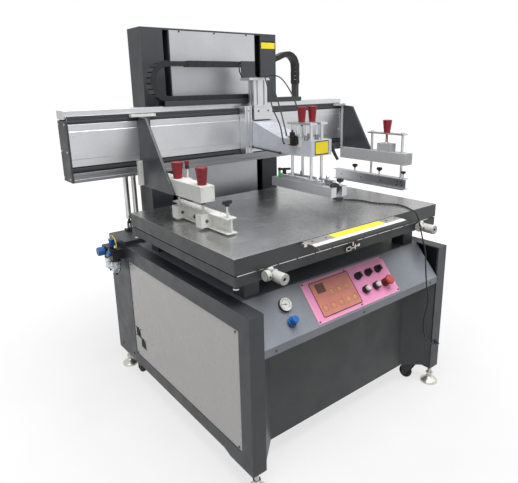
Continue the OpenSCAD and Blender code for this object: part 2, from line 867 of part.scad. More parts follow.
module right_clamp_rail() {
    z1 = right_rail_z + rail_h;
    color("#b3b6b8") place() {
        difference() {
            clamp_rail(right_rail_x, right_rail_y, right_rail_z, right_rail_l);
            rod_z([right_x + 30 - 8, right_rail_y + 12, z1 - 10], 4 + fit, 20);
        }
        for (y = post_ys) rod_z([right_x + 30, y, z1], post_r, bridge_z - z1);
        span([right_x + 10, post_ys[0] - 18, bridge_z], [right_x + 50, post_ys[1] + 18, bridge_z + 8]);
        rod_z([right_x + 30, 533, tube_z + tube_s + 5], 6.5, bridge_z - tube_z - tube_s + 47);
    }
}

module right_knob() {
    color("#a8202e") place() red_knob(right_x + 30, 533, bridge_z + 8 + gap, 6.5 + fit);
}

module right_clamp_screw() {
    color("#1c1d1f") place()
        star_screw(right_x + 22, right_rail_y + 12, right_rail_z + rail_h - 9, 18, 13);
}

// Screw with a small five-lobed knob
module star_screw(x, y, z, h, r) {
    rod_z([x, y, z], 4, h + 2);
    translate([x, y, z + h]) difference() {
        cylinder(r = r, h = 12);
        for (k = [0 : 4]) rotate(72 * k) translate([r + 2, 0, -1]) cylinder(r = 5, h = 14, $fn = 24);
    }
}

// Print head

module head_carriage() {
    color("#b9bcbf") place() {
        span([49, mount_y0, beam_z + 45], [head_x + head_w, mount_y1, cap_z - 12]);
        difference() {
            span([49, mount_y0 - 30, beam_z + 45], [91, mount_y0, cap_z - 12]);
            for (x = [60, 80]) span([x - 4, mount_y0 - 31, beam_z + 44], [x + 4, mount_y0 - 24, cap_z]);
        }
        span([98, 798, head_back_z], [211, mount_y0, cap_z - 18]);
        span([98, 794, cap_z - 18], [204, mount_y1, cap_z - 10]);
        mast();
    }
}

// Slotted mast that carries the end of the cable chain
module mast() {
    z0 = cap_z - 10;
    z1 = mast_z;
    difference() {
        span([98, 800, z0], [181, 842, z1]);
        for (x = [119, 160]) span([x - 4, 799, z0 - 1], [x + 4, 808, z1 + 1]);
        span([97, 817, z0 - 1], [106, 825, z1 + 1]);
    }
    span([72, 796, z1], [200, 872, z1 + 12]);
}

module head_arm() {
    color("#c2c5c8") place()
        difference() {
            across(head_x, head_w, [
                [head_y0, head_z0 - 2], [520, head_z0 - 6], [618, head_z0 + 2], [head_y1, head_z0 + 2],
                [head_y1, head_back_z], [828, head_back_z], [597, head_z1], [head_y0, head_z1]
            ]);
            across(head_x + 6, head_w - 12, [
                [head_y0 + 6, head_z0 + 6], [head_y1 + 1, head_z0 + 8], [head_y1 + 1, head_back_z - 6],
                [824, head_back_z - 6], [595, head_z1 - 6], [head_y0 + 6, head_z1 - 6]
            ]);
            for (x = bar_xs) for (y = bar_posts) rod_z([x, y, head_z0 - 20], bar_post_r + fit, 200);
        }
}

module head_hoses() {
    color("#141516") place()
        for (k = [0 : 2]) tube(hose_routes[k], hose_r, 4, 8);
}

// Bridge plate, two guide posts and a clamping bar with its jaw rail
module lift_bar(x, bar_x) {
    difference() {
        span([x - 20, bar_posts[0] - 14, bar_plate_z], [x + 20, bar_posts[1] + 14, bar_plate_z + 9]);
        rod_z([x, knob_mid_y, bar_plate_z - 1], 5 + fit, 12);
    }
    for (y = bar_posts) rod_z([x, y, bar_z + bar_h + 14], bar_post_r, bar_plate_z - bar_z - bar_h - 14);
    span([bar_x, bar_y0, bar_z], [bar_x + 30, bar_y1, bar_z + bar_h]);
    span([bar_x + 5, bar_y0 + 60, bar_z + bar_h], [bar_x + 25, bar_y1 - 40, bar_z + bar_h + 14]);
}

module squeegee_bar() {
    color("#a9acb0") place() lift_bar(bar_xs[0], 93);
}

module flood_bar() {
    color("#a9acb0") place() lift_bar(bar_xs[1], 157);
}

module bar_knob(x) {
    color("#a8202e") place() {
        red_knob(x, knob_mid_y, bar_plate_z + 9 + gap, 5);
        rod_z([x, knob_mid_y, bar_plate_z - 8], 5, 30);
    }
}

// Air filter and regulator on the left side frame

module filter_unit() {
    color("#2b2d30") place() {
        span([-frame_x - 10, 960, 648], [-frame_x, 1096, 696]);
        span([-608, 962, 650], [-frame_x - 10, 1090, 700]);
        for (y = bowl_ys) {
            rod_z([-586, y, 640], 23, 10);
            rod_z([-586, y, 578], 20, 62);
            rod_z([-586, y, 572], 6, 6);
        }
        rod_z([-586, 1016, 700], 15, 40);
        rod_x([-640, 1062, 675], 21, 32);
        rod_x([-622, 986, 680], 14, 14);
    }
}

// Foot switch cord

module cord_gland() {
    color("#1a1b1d") place()
        difference() {
            union() {
                rod_y([520, -3, 244], 11, 3);
                translate([520, -3, 244]) rotate([90, 0, 0]) cylinder(r1 = 7, r2 = 5, h = 7);
                rod_y([520, 0, 244], 8, 20);
            }
            rod_y([520, -11, 244], cord_r + 0.2, 32);
            rod_y([520, -11, 244], cord_r + 1, 6);
        }
}

module foot_switch_cord() {
    color("#121314") place() tube(cord_route, cord_r, 3, 8);
}

module cord_plug() {
    end = cord_route[len(cord_route) - 1];
    dir = unit(end - cord_route[len(cord_route) - 2]);
    color("#2c2e31") place()
        translate([end[0], end[1], table_z + plug_r + 0.4]) rotate([0, 90, atan2(dir[1], dir[0])])
            rotate_extrude() polygon([[0, 1], [5, 1], [7, 6], [plug_r, 10], [plug_r, 36], [6, 40], [6, 50], [0, 50]]);
}

side_frames();
side_panels();
rear_base();
floor_pan();
console();
front_panels();
feet_and_forks();
control_plate();
keypad();
panel_fittings();
table_frame();
column();
column_covers();
damper_barrels();
filter_unit();
cord_gland();
foot_switch_cord();
cord_plug();
caster_wheel(-caster_xs[0], caster_ys[0]);  // wheel_front_left
caster_wheel(caster_xs[0], caster_ys[0]);  // wheel_front_right
caster_wheel(-caster_xs[1], caster_ys[1]);  // wheel_rear_left
caster_wheel(caster_xs[1], caster_ys[1]);  // wheel_rear_right
selector(selector_xs[0]);  // selector_left
selector(selector_xs[1]);  // selector_middle
selector(selector_xs[2]);  // selector_right
push_button(button_xs[0], "#eceae4");  // button_left
push_button(button_xs[1], "#eceae4");  // button_right
stop_button();
regulator_knob();
table_slide();
table_top();
register_plate();
table_knob(knob_xs[0]);  // table_knob_left
table_knob(knob_xs[1]);  // table_knob_right
table_knob_side();
beam();
beam_rails();
beam_ends();
damper_rods();
chain_bend();
chain_upper();
chain_arch();
left_gusset();
left_arm_tube();
left_clamp_rail();
left_knob(stem_ys[0]);  // left_knob_front
left_knob(stem_ys[1]);  // left_knob_rear
left_clamp_screw();
right_gusset();
right_arm_tube();
right_clamp_rail();
right_knob();
right_clamp_screw();
head_carriage();
head_arm();
head_hoses();
squeegee_bar();
flood_bar();
bar_knob(bar_xs[0]);  // squeegee_knob
bar_knob(bar_xs[1]);  // flood_knob
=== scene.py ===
"""Flatbed screen printer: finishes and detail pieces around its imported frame, on a pale studio floor.

All places are machine coordinates in millimetres: X from the middle of the frame to the operator's right,
Y from the front of the side frames to the rear, Z up from 28 mm below the floor. at() turns them into metres
in the row frame.
"""

import json

import bmesh
import bpy
import numpy as np
from bpy.props import FloatProperty, FloatVectorProperty, PointerProperty
from bpy.types import Operator, Panel, PropertyGroup
from mathutils import Matrix


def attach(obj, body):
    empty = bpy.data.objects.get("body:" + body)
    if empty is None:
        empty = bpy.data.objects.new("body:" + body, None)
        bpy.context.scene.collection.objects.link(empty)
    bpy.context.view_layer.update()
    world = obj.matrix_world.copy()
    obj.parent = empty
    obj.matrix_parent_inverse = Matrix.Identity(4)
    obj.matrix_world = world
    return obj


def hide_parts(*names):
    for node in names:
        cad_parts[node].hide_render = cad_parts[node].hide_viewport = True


bl_info = {
    "name": "Flatbed Screen Printer",
    "version": (1, 0, 0),
    "blender": (4, 5, 0),
    "location": "3D View > Sidebar > Printer",
    "description": "Builds the finishes and detail pieces of a flatbed screen printer on its frame",
    "category": "Object",
}

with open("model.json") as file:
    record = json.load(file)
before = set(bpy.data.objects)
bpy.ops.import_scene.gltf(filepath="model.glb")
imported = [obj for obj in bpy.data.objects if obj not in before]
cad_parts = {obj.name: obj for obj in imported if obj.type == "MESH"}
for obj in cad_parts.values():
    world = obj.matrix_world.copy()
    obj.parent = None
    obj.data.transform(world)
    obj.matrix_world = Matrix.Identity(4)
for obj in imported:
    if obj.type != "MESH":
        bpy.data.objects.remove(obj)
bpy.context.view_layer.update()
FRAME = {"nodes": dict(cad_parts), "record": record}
RECORD = FRAME["record"]
NODE_BODY = {node: body for body, nodes in RECORD["behaviour"]["bodies"].items() for node in nodes}
NODE_SLOT = {part["node"]: part["material_slot"] for part in RECORD["subparts"]}
MIDDLE = np.array([18.0, 559.0, 28.0])
UP, FRONT, BACK, LEFT, RIGHT = (0, 0, 1), (0, -1, 0), (0, 1, 0), (-1, 0, 0), (1, 0, 0)
SIDES = (-1, 1)


def at(points):
    """Machine coordinates in millimetres, as one point or an array of them, moved to the row frame in metres."""
    return (np.asarray(points, float) - MIDDLE) / 1000


# Materials


def is_socket(value):
    return isinstance(value, bpy.types.NodeSocket)


class Tree:
    """A node tree, put together one line at a time."""

    def __init__(self, tree):
        self.tree = tree

    def node(self, kind, values=None, **settings):
        """A new node with its settings, and its inputs set to values or linked to sockets."""
        made = self.tree.nodes.new("ShaderNode" + kind)
        for key, value in settings.items():
            setattr(made, key, value)
        for key, value in (values or {}).items():
            if is_socket(value):
                self.tree.links.new(value, made.inputs[key])
            else:
                made.inputs[key].default_value = value
        return made

    def place(self, scale=(1, 1, 1)):
        """The object's own coordinates, stretched by a scale along each axis."""
        source = self.node("TexCoord").outputs["Object"]
        return self.node("Mapping", {"Vector": source, "Scale": scale}).outputs["Vector"]

    def noise(self, scale, detail=3.0, rough=0.5, stretch=(1, 1, 1)):
        return self.node("TexNoise", {"Vector": self.place(stretch), "Scale": scale, "Detail": detail,
                                      "Roughness": rough}).outputs["Fac"]

    def spread(self, value, low, high, out_low=0.0, out_high=1.0):
        """A value from low to high, spread over a new range and clipped to it."""
        return self.node("MapRange", {"Value": value, "From Min": low, "From Max": high,
                                      "To Min": out_low, "To Max": out_high}).outputs["Result"]

    def blend(self, factor, a, b):
        """One colour where the factor is 0, the other where it is 1."""
        a, b = (v if is_socket(v) else (*v, 1) for v in (a, b))
        return self.node("Mix", {0: factor, 6: a, 7: b}, data_type="RGBA").outputs[2]

    def cloud(self, value, colour, amount):
        """A colour made darker and lighter by an amount as the value goes from 0.3 to 0.7."""
        return self.blend(self.spread(value, 0.3, 0.7), rgb(colour, 1 - amount), rgb(colour, 1 + amount))

    def math(self, operation, *values):
        return self.node("Math", dict(enumerate(values)), operation=operation).outputs[0]


class Finish(Tree):
    """A material around one principled shader."""

    def __init__(self, name):
        self.mat = bpy.data.materials.new(name)
        self.mat.use_nodes = True
        super().__init__(self.mat.node_tree)
        self.shader = self.tree.nodes["Principled BSDF"]

    def edges(self, radius=0.002):
        """How near a point is to an outer edge: 0 on flats, 1 on the edge, from how far a rounded normal turns."""
        flat = self.node("NewGeometry").outputs["Normal"]
        rounded = self.node("Bevel", {"Radius": radius}, samples=4).outputs["Normal"]
        dot = self.node("VectorMath", {0: flat, 1: rounded}, operation="DOT_PRODUCT").outputs["Value"]
        return self.spread(dot, 0.98, 0.82)

    def put(self, **values):
        """Sets or links the shader's inputs."""
        for key, value in values.items():
            socket = self.shader.inputs[key.replace("_", " ")]
            if is_socket(value):
                self.tree.links.new(value, socket)
            else:
                socket.default_value = value

    def bump(self, height, strength, distance):
        made = self.node("Bump", {"Height": height, "Strength": strength, "Distance": distance})
        self.put(Normal=made.outputs["Normal"])


def rgb(colour, factor=1.0):
    return tuple(min(1.0, c * factor) for c in colour[:3])


def enamel(name, colour, rough=0.42, peel=260.0, depth=0.25, wear=0.35, speckle=0.0, coat=0.0, mottle=0.11):
    """Sprayed enamel: orange peel in the bump, cloudy tone, slightly dusty in patches and rubbed at the edges."""
    f = Finish(name)
    tone = f.cloud(f.noise(5.0, 4.0, 0.6), colour, mottle)
    if speckle:
        dots = f.spread(f.noise(900.0, 2.0), 0.56, 0.64)
        tone = f.blend(f.math("MULTIPLY", dots, speckle), tone, rgb(colour, 2.2))
    if wear:
        rubbed = f.math("MULTIPLY", f.edges(), f.spread(f.noise(60.0, 5.0), 0.42, 0.62, 0.0, wear))
        tone = f.blend(rubbed, tone, rgb((0.42, 0.42, 0.43)))
    f.put(Base_Color=tone, Roughness=f.spread(f.noise(14.0, 5.0), 0.3, 0.75, rough - 0.08, rough + 0.1),
          Coat_Weight=coat, Coat_Roughness=0.2)
    f.bump(f.noise(peel, 2.0), depth, 0.0004)
    return f.mat


def metal(name, colour, rough=0.3, grain=(1, 1, 60), fine=320.0, depth=0.1, cloud=0.06, metallic=1.0):
    """Worked metal: fine grain drawn along one axis in the roughness and bump, with faint handling marks."""
    f = Finish(name)
    lines = f.noise(fine, 3.0, 0.6, grain)
    marks = f.noise(7.0, 6.0, 0.65)
    tone = f.cloud(marks, colour, cloud)
    tone = f.blend(f.spread(lines, 0.35, 0.65, 0.0, 0.35), tone, rgb(colour, 0.8))
    gloss = f.math("ADD", f.spread(lines, 0.3, 0.7, rough - 0.05, rough + 0.06),
                   f.spread(marks, 0.5, 0.8, 0.0, 0.08))
    f.put(Base_Color=tone, Metallic=metallic, Roughness=gloss)
    f.bump(lines, depth, 0.0002)
    return f.mat


def plastic(name, colour, rough=0.4, texture=500.0, depth=0.15, sheen=0.0):
    """Moulded plastic or rubber: fine spark-eroded texture, a little cloud in the tone and scuffs in the gloss."""
    f = Finish(name)
    f.put(Base_Color=f.cloud(f.noise(18.0, 4.0), colour, 0.08),
          Roughness=f.spread(f.noise(55.0, 6.0, 0.7), 0.35, 0.75, rough - 0.07, rough + 0.12))
    f.bump(f.noise(texture, 2.0), depth, 0.0002)
    f.put(Sheen_Weight=sheen, Specular_IOR_Level=0.35)
    return f.mat


def threaded(name, colour, pitch=0.002):
    """Metal with a screw thread: a wave along Z with the given pitch in metres, in the bump and in the tone, where
    the darker troughs are painted shade in the thread's grooves.
    """
    f = Finish(name)
    wave = f.node("TexWave", {"Vector": f.place(), "Scale": 2 * np.pi / (20 * pitch), "Distortion": 0.0,
                              "Detail": 0.0}, wave_type="BANDS", bands_direction="Z").outputs["Fac"]
    # painted shade: the tone falls to 0.4 of the colour in the wave's troughs, the thread's grooves
    f.put(Base_Color=f.blend(wave, rgb(colour, 0.4), rgb(colour)), Metallic=1.0,
          Roughness=f.spread(f.noise(60.0, 4.0), 0.3, 0.7, 0.28, 0.42))
    f.bump(wave, 0.6, 0.0006)
    return f.mat


def glass(name, colour):
    """Clear moulded bowl, thin and slightly clouded."""
    f = Finish(name)
    f.put(Base_Color=f.blend(f.spread(f.noise(30.0, 3.0), 0.3, 0.7), rgb(colour, 0.95), rgb(colour)),
          Transmission_Weight=0.92, IOR=1.49, Roughness=f.spread(f.noise(40.0, 4.0), 0.3, 0.7, 0.03, 0.1))
    return f.mat


EVEN = (1, 1, 1)
ACROSS = (1, 30, 30)

# Kind, colour and settings of each finish; None takes the colour of the same name from the sidebar
FINISHES = {
    "frame_paint": (enamel, None, {}),
    "panel_paint": (enamel, None, dict(rough=0.3, peel=90.0, depth=0.0, wear=0.0, coat=0.4, mottle=0.012)),
    "console_paint": (enamel, None, dict(speckle=0.35)),
    "front_paint": (enamel, None, {}),
    "dark_steel": (enamel, None, dict(rough=0.5, peel=600.0, depth=0.15, wear=0.5)),
    "white_paint": (enamel, None, dict(rough=0.3, peel=300.0, depth=0.08, wear=0.15, mottle=0.025)),
    "head_paint": (enamel, None, dict(rough=0.3, peel=300.0, depth=0.06, wear=0.15, coat=0.3, mottle=0.02)),
    "arm_grey": (enamel, (0.42, 0.425, 0.43), dict(rough=0.34, peel=300.0, depth=0.06, wear=0.2, mottle=0.04)),
    "knob_white": (plastic, (0.56, 0.56, 0.53), dict(rough=0.33)),
    "pink_plate": (enamel, None, dict(rough=0.4, peel=500.0, depth=0.08, wear=0.0)),
    "stainless": (metal, None, dict(rough=0.26, grain=(1, 40, 1), fine=60.0, depth=0.015, cloud=0.015)),
    "anodised": (metal, None, dict(rough=0.36, grain=ACROSS, fine=90.0, depth=0.06)),
    "cover_sheet": (metal, None, dict(rough=0.42, grain=(30, 30, 1), fine=90.0, depth=0.05)),
    "chrome_rod": (metal, (0.8, 0.8, 0.8), dict(rough=0.1, fine=200.0, depth=0.02)),
    "zinc": (metal, (0.62, 0.61, 0.58), dict(rough=0.34, grain=EVEN, fine=500.0, depth=0.08, cloud=0.15)),
    "brass_fitting": (metal, (0.7, 0.52, 0.25), dict(rough=0.25, grain=EVEN, fine=500.0)),
    "orange_film": (plastic, None, dict(rough=0.38, texture=1400.0)),
    "white_plastic": (plastic, None, dict(rough=0.33)),
    "red_plastic": (plastic, None, dict(rough=0.3)),
    "black_plastic": (plastic, (0.014, 0.014, 0.016), dict(rough=0.42)),
    "blue_plastic": (plastic, None, dict(rough=0.3)),
    "chain_plastic": (plastic, (0.014, 0.014, 0.016), dict(rough=0.5, texture=900.0)),
    "rubber_black": (plastic, (0.012, 0.012, 0.013), dict(rough=0.6, texture=1200.0, sheen=0.1)),
    "yellow_film": (plastic, (0.86, 0.68, 0.03), dict(rough=0.4, texture=900.0, depth=0.05)),
    "clear_bowl": (glass, (0.86, 0.9, 0.94), {}),
    "thread_bronze": (threaded, (0.42, 0.24, 0.12), {}),
    "bronze": (metal, (0.3, 0.17, 0.08), dict(rough=0.35, grain=EVEN, fine=500.0)),
    "rail_grey": (metal, (0.27, 0.275, 0.285), dict(rough=0.36, grain=ACROSS, fine=90.0, depth=0.05)),
    "stop_cap": (plastic, (0.58, 0.09, 0.085), dict(rough=0.3)),
    "display_film": (plastic, (0.16, 0.055, 0.04), dict(rough=0.25, texture=1500.0)),
    "key_film": (plastic, (0.72, 0.42, 0.14), dict(rough=0.4, texture=900.0, depth=0.05)),
    "foot_metal": (metal, (0.78, 0.76, 0.7), dict(rough=0.3, grain=EVEN, fine=300.0, metallic=0.8)),
    "green_plastic": (plastic, (0.02, 0.3, 0.06), dict(rough=0.35)),
}
MATERIALS = {}


# Shapes: each returns points in machine millimetres and faces


def frame_of(axis):
    """Three unit vectors as rows: sideways, upwards and along an axis."""
    z = np.asarray(axis, float) / np.linalg.norm(axis)
    side = np.cross(UP, z)
    if np.linalg.norm(side) < 1e-6:
        side = np.cross(BACK, z)
    x = side / np.linalg.norm(side)
    return np.array([x, np.cross(z, x), z])


def moved(shape, place, axis=UP):
    """A shape drawn along its own Z, turned so that Z points along an axis, then set at a place."""
    points, faces = shape
    return points @ frame_of(axis) + np.asarray(place, float), faces


def grid_faces(rows, columns, closed=True):
    """Quads over a grid of points; closed joins the last column to the first."""
    i, j = np.meshgrid(np.arange(rows - 1), np.arange(columns if closed else columns - 1), indexing="ij")
    k = (j + 1) % columns
    quads = np.stack([i * columns + j, i * columns + k, (i + 1) * columns + k, (i + 1) * columns + j], -1)
    return quads.reshape(-1, 4).tolist()


def lathe(profile, n=32, lobes=0, depth=0.0, span=None):
    """Points at radius r and height z of the profile, turned about Z in n steps. Lobes press that many flutes of
    a depth into the radius, r - depth * (1 + cos(lobes * angle)) / 2, between the heights of the span."""
    profile = np.asarray(profile, float)
    angle = 2 * np.pi * np.arange(n) / n
    r, z = profile[:, :1], profile[:, 1:]
    r = np.repeat(r, n, 1)
    if lobes:
        low, high = span or (z.min() - 1, z.max() + 1)
        inside = (z >= low) & (z <= high)
        r = r - inside * (r > 0) * depth * (1 + np.cos(lobes * angle)) / 2
    points = np.stack([r * np.cos(angle), r * np.sin(angle), np.repeat(z, n, 1)], -1).reshape(-1, 3)
    return points, grid_faces(len(profile), n)


def spun(profile, place, n=32, axis=UP, **flutes):
    """A profile turned about an axis through a place."""
    return moved(lathe(profile, n, **flutes), place, axis)


def rod(a, b, r, n=20, ease=0.0):
    """A round bar from a to b, its end edges chamfered by an ease."""
    h = np.linalg.norm(np.subtract(b, a))
    profile = [(0, 0), (r - ease, 0), (r, ease), (r, h - ease), (r - ease, h), (0, h)]
    if not ease:
        profile = [(0, 0), (r, 0), (r, h), (0, h)]
    return spun(profile, a, n, np.subtract(b, a))


def post(x, y, low, high, r, n=20, ease=0.0):
    """An upright round bar."""
    return rod((x, y, low), (x, y, high), r, n, ease)


def block(a, b):
    """A box between two corners."""
    lo, hi = np.minimum(a, b).astype(float), np.maximum(a, b).astype(float)
    bits = np.array([[i & 1, i >> 1 & 1, i >> 2 & 1] for i in range(8)])
    points = lo + bits * (hi - lo)
    return points, [[0, 2, 3, 1], [4, 5, 7, 6], [0, 1, 5, 4], [2, 6, 7, 3], [0, 4, 6, 2], [1, 3, 7, 5]]


def prism(outline, h):
    """A flat outline in X and Y, carried up Z by h."""
    n = len(outline)
    low = np.column_stack([np.asarray(outline, float), np.zeros(n)])
    return np.vstack([low, low + (0, 0, h)]), grid_faces(2, n) + [list(range(n))[::-1], list(range(n, 2 * n))]


def plate(axis, a, b, outline):
    """An outline in the two other coordinates, carried along X, Y or Z from a to b."""
    points, faces = prism(outline, b - a)
    points = points[:, {"x": (2, 0, 1), "y": (0, 2, 1), "z": (0, 1, 2)}[axis]]
    points[:, "xyz".index(axis)] += a
    return points, faces


def rounded(x0, y0, x1, y1, r, steps=5):
    """Outline of a rectangle with quarter circles of radius r at its corners."""
    turn = np.linspace(0, np.pi / 2, steps)
    corners = [(x1 - r, y1 - r), (x0 + r, y1 - r), (x0 + r, y0 + r), (x1 - r, y0 + r)]
    return np.concatenate([np.stack([x + r * np.cos(turn + k * np.pi / 2), y + r * np.sin(turn + k * np.pi / 2)], 1)
                           for k, (x, y) in enumerate(corners)])


def border(outer, inner, low, high):
    """A flat ring between two outlines of as many points, from one height to another."""
    loops = [(outer, low), (outer, high), (inner, high), (inner, low), (outer, low)]
    points = np.vstack([np.column_stack([line, np.full(len(line), h)]) for line, h in loops])
    return points, grid_faces(len(loops), len(outer))


def circle(r, n, end=True):
    """Points of a circle in X and Y; the last one is the first again, or left out."""
    turn = np.linspace(0, 2 * np.pi, n, endpoint=end)
    return np.stack([r * np.cos(turn), r * np.sin(turn), 0 * turn], 1)


def sweep(path, r, n=12):
    """A round section of radius r on rings square to a path, each ring turned from the last without twist."""
    path = np.asarray(path, float)
    along = np.gradient(path, axis=0)
    along /= np.linalg.norm(along, axis=1)[:, None]
    side = np.zeros_like(path)
    s = np.cross(along[0], (0.3, 0.2, 1))
    for i, t in enumerate(along):
        s = s - t * (s @ t)
        s /= np.linalg.norm(s)
        side[i] = s
    angle = 2 * np.pi * np.arange(n) / n
    other = np.cross(along, side)
    r = np.broadcast_to(np.asarray(r, float), (len(path),))[:, None, None]
    points = path[:, None] + r * (np.cos(angle)[None, :, None] * side[:, None]
                                  + np.sin(angle)[None, :, None] * other[:, None])
    last = (len(path) - 1) * n
    caps = [list(range(n))[::-1], list(range(last, last + n))]
    return points.reshape(-1, 3), grid_faces(len(path), n) + caps


def thread(r, depth, low, high, step):
    """Profile of a screw thread: its radius is smaller by the depth at every other step of the height."""
    z = np.arange(low, high, step)
    return np.stack([r - depth * (np.arange(len(z)) % 2), z], 1)


def cap_screw(place, axis, r=4.0, h=None):
    """Socket head: a disc with a chamfered rim and a sunk middle."""
    h = h or 0.8 * r
    profile = [(0, 0.35 * h), (0.5 * r, 0.35 * h), (0.5 * r, h), (0.86 * r, h), (r, 0.84 * h), (r, -0.3), (0, -0.3)]
    return spun(profile, place, 12, axis)


def screws(places, axis, r=4.0, h=None):
    return [cap_screw(place, axis, r, h) for place in places]


def hex_nut(place, axis, r, h):
    """Six-sided nut with chamfered corners."""
    return spun([(0, 0), (0.9 * r, 0), (r, 0.08 * h), (r, 0.92 * h), (0.9 * r, h), (0, h)], place, 6, axis)


def smooth_path(points, steps=8):
    """Catmull-Rom curve through the points, with a number of steps for each stretch."""
    p = np.asarray(points, float)
    p = np.vstack([p[:1], p, p[-1:]])
    t = np.linspace(0, 1, steps, endpoint=False)[:, None]
    a, b, c, d = (p[k:len(p) - 3 + k, None, :] for k in range(4))
    curve = 0.5 * (2 * b + (c - a) * t + (2 * a - 5 * b + 4 * c - d) * t ** 2 + (3 * b - a - 3 * c + d) * t ** 3)
    return np.vstack([curve.reshape(-1, 3), p[-1:]])


# Pieces


def cleaned(mesh, angle=None):
    """A mesh with its doubles merged, and either its flat areas made one face each, up to an angle between their
    facets, or its empty faces dropped and all faces turned outwards."""
    work = bmesh.new()
    work.from_mesh(mesh)
    bmesh.ops.remove_doubles(work, verts=work.verts, dist=2e-6)
    if angle:
        bmesh.ops.dissolve_limit(work, angle_limit=angle, verts=work.verts, edges=work.edges)
    else:
        bmesh.ops.dissolve_degenerate(work, edges=work.edges, dist=1e-7)
        bmesh.ops.recalc_face_normals(work, faces=work.faces)
    work.to_mesh(mesh)
    work.free()
    return mesh


def make(name, body, slot, shapes, bevel=0.0, replaces=(), crease=32):
    """One piece out of shapes, with its edges sharper than the crease kept sharp or, where a bevel is given in
    millimetres, rounded by it."""
    points, faces, count = [], [], 0
    for shape_points, shape_faces in shapes:
        points.append(shape_points)
        faces += [[i + count for i in face] for face in shape_faces]
        count += len(shape_points)
    mesh = bpy.data.meshes.new(name)
    mesh.from_pydata(at(np.vstack(points)).tolist(), [], faces)
    return put_piece(name, body, slot, cleaned(mesh), bevel, replaces, crease)


def put_piece(name, body, slot, mesh, bevel, replaces, crease):
    """Links a mesh as a piece with its finish, body, rounding and the nodes that it stands for."""
    mesh.shade_smooth()
    if not bevel:
        mesh.set_sharp_from_angle(angle=np.radians(crease))
    piece = bpy.data.objects.new(name, mesh)
    bpy.context.scene.collection.objects.link(piece)
    mesh.materials.clear()
    mesh.materials.append(MATERIALS[slot])
    if bevel:
        ease = piece.modifiers.new("rounding", "BEVEL")
        ease.width = bevel / 1000
        ease.segments = 2
        ease.limit_method = "ANGLE"
        ease.angle_limit = np.radians(crease)
        ease.use_clamp_overlap = True
        flats = piece.modifiers.new("flats", "WEIGHTED_NORMAL")
        flats.weight = 100
        flats.mode = "FACE_AREA"
    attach(piece, body)
    if replaces:
        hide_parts(*replaces)
    return piece


def eased(node, width, slot=None):
    """A CAD node with its outer edges rounded: a merged copy of its mesh under a bevel that turns every sharp edge
    into a small fillet of the given width in millimetres."""
    mesh = cleaned(FRAME["nodes"][node].data.copy(), 0.002)
    return put_piece(node + "_eased", NODE_BODY[node], slot or NODE_SLOT[node], mesh, width, [node], 35)


def tube(name, body, slot, points, radius):
    """A round section along a smooth path, as a curve object, and that path in metres."""
    path = smooth_path(points)
    curve = bpy.data.curves.new(name, "CURVE")
    curve.dimensions = "3D"
    curve.bevel_depth = radius / 1000
    curve.bevel_resolution = 3
    curve.use_fill_caps = True
    spline = curve.splines.new("POLY")
    spline.points.add(len(path) - 1)
    spline.points.foreach_set("co", np.hstack([at(path), np.ones((len(path), 1))]).ravel())
    spline.use_smooth = True
    piece = bpy.data.objects.new(name, curve)
    bpy.context.scene.collection.objects.link(piece)
    curve.materials.append(MATERIALS[slot])
    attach(piece, body)
    return piece, at(path)


# Settings in the sidebar


def colour(name, description, default):
    return FloatVectorProperty(name=name, description=description, subtype="COLOR", min=0, max=1, default=default)


def length(name, description, default, low, high):
    return FloatProperty(name=name, description=description, default=default, min=low, max=high, unit="LENGTH")


class PrinterColours(PropertyGroup):
    """Colours of the main surfaces"""
    frame_paint: colour("Frame enamel", "Charcoal enamel of the frame and column", (0.036, 0.039, 0.045))
    panel_paint: colour("Side panels", "Light grey coat of the inset side panels", (0.67, 0.655, 0.645))
    console_paint: colour("Console", "Speckled grey of the console sheet", (0.22, 0.235, 0.265))
    front_paint: colour("Front panels", "Dark grey of the knee recess", (0.033, 0.035, 0.038))
    dark_steel: colour("Dark steel", "Blackened steel of brackets and end plates", (0.03, 0.032, 0.035))
    white_paint: colour("White parts", "Light enamel of the arm tubes and head", (0.68, 0.68, 0.65))
    pink_plate: colour("Control plate", "Pink control plate", (1.0, 0.335, 0.6))
    orange_film: colour("Key membrane", "Orange membrane of the keypad", (0.7, 0.26, 0.2))
    head_paint: colour("Head", "Cool light grey enamel of the print head", (0.52, 0.54, 0.6))
    stainless: colour("Table sheet", "Polished sheet of the table top", (0.62, 0.62, 0.62))
    anodised: colour("Anodised aluminium", "Beam and clamp extrusions", (0.64, 0.65, 0.67))
    cover_sheet: colour("Column cover", "Satin sheet of the column cover", (0.5, 0.51, 0.53))
    red_plastic: colour("Red knobs", "Red moulded hand knobs", (0.21, 0.008, 0.014))
    blue_plastic: colour("Blue knobs", "Blue moulded pressure knobs", (0.02, 0.14, 0.45))
    white_plastic: colour("White caps", "White moulded button caps and dial", (0.72, 0.72, 0.68))


class PrinterSizes(PropertyGroup):
    """Sizes of the flexible and rounded pieces"""
    cord_diameter: length("Cord diameter", "Diameter of the foot switch cord", 0.006, 0.003, 0.01)
    hose_diameter: length("Hose diameter", "Diameter of the air hoses on the head", 0.006, 0.003, 0.01)
    edge_round: length("Edge rounding", "Width of the small fillet on folded sheet edges", 0.0012, 0.0002, 0.004)


# Stage

# Camera as solved from the photo: picture size, focal length and middle in pixels, turn in degrees, sensor in mm
PHOTO_WIDTH, PHOTO_HEIGHT = 518, 483
FOCAL_LENGTH, CENTRE = 486.72, (263.54, 215.31)
CAMERA_TURN = (-38.10, 14.89, -1.09)
CAMERA_PLACE = (-1358.7, -1116.3, 1410.7)
SENSOR = 36
WHITE = (1, 1, 1, 1)

# Strength of the world as diffuse light, and what the rays that look at it add
WORLD_LIGHT = 0.18
WORLD_SEEN = (("Is Camera Ray", 0.82), ("Is Transmission Ray", 0.82), ("Is Glossy Ray", 0.57))

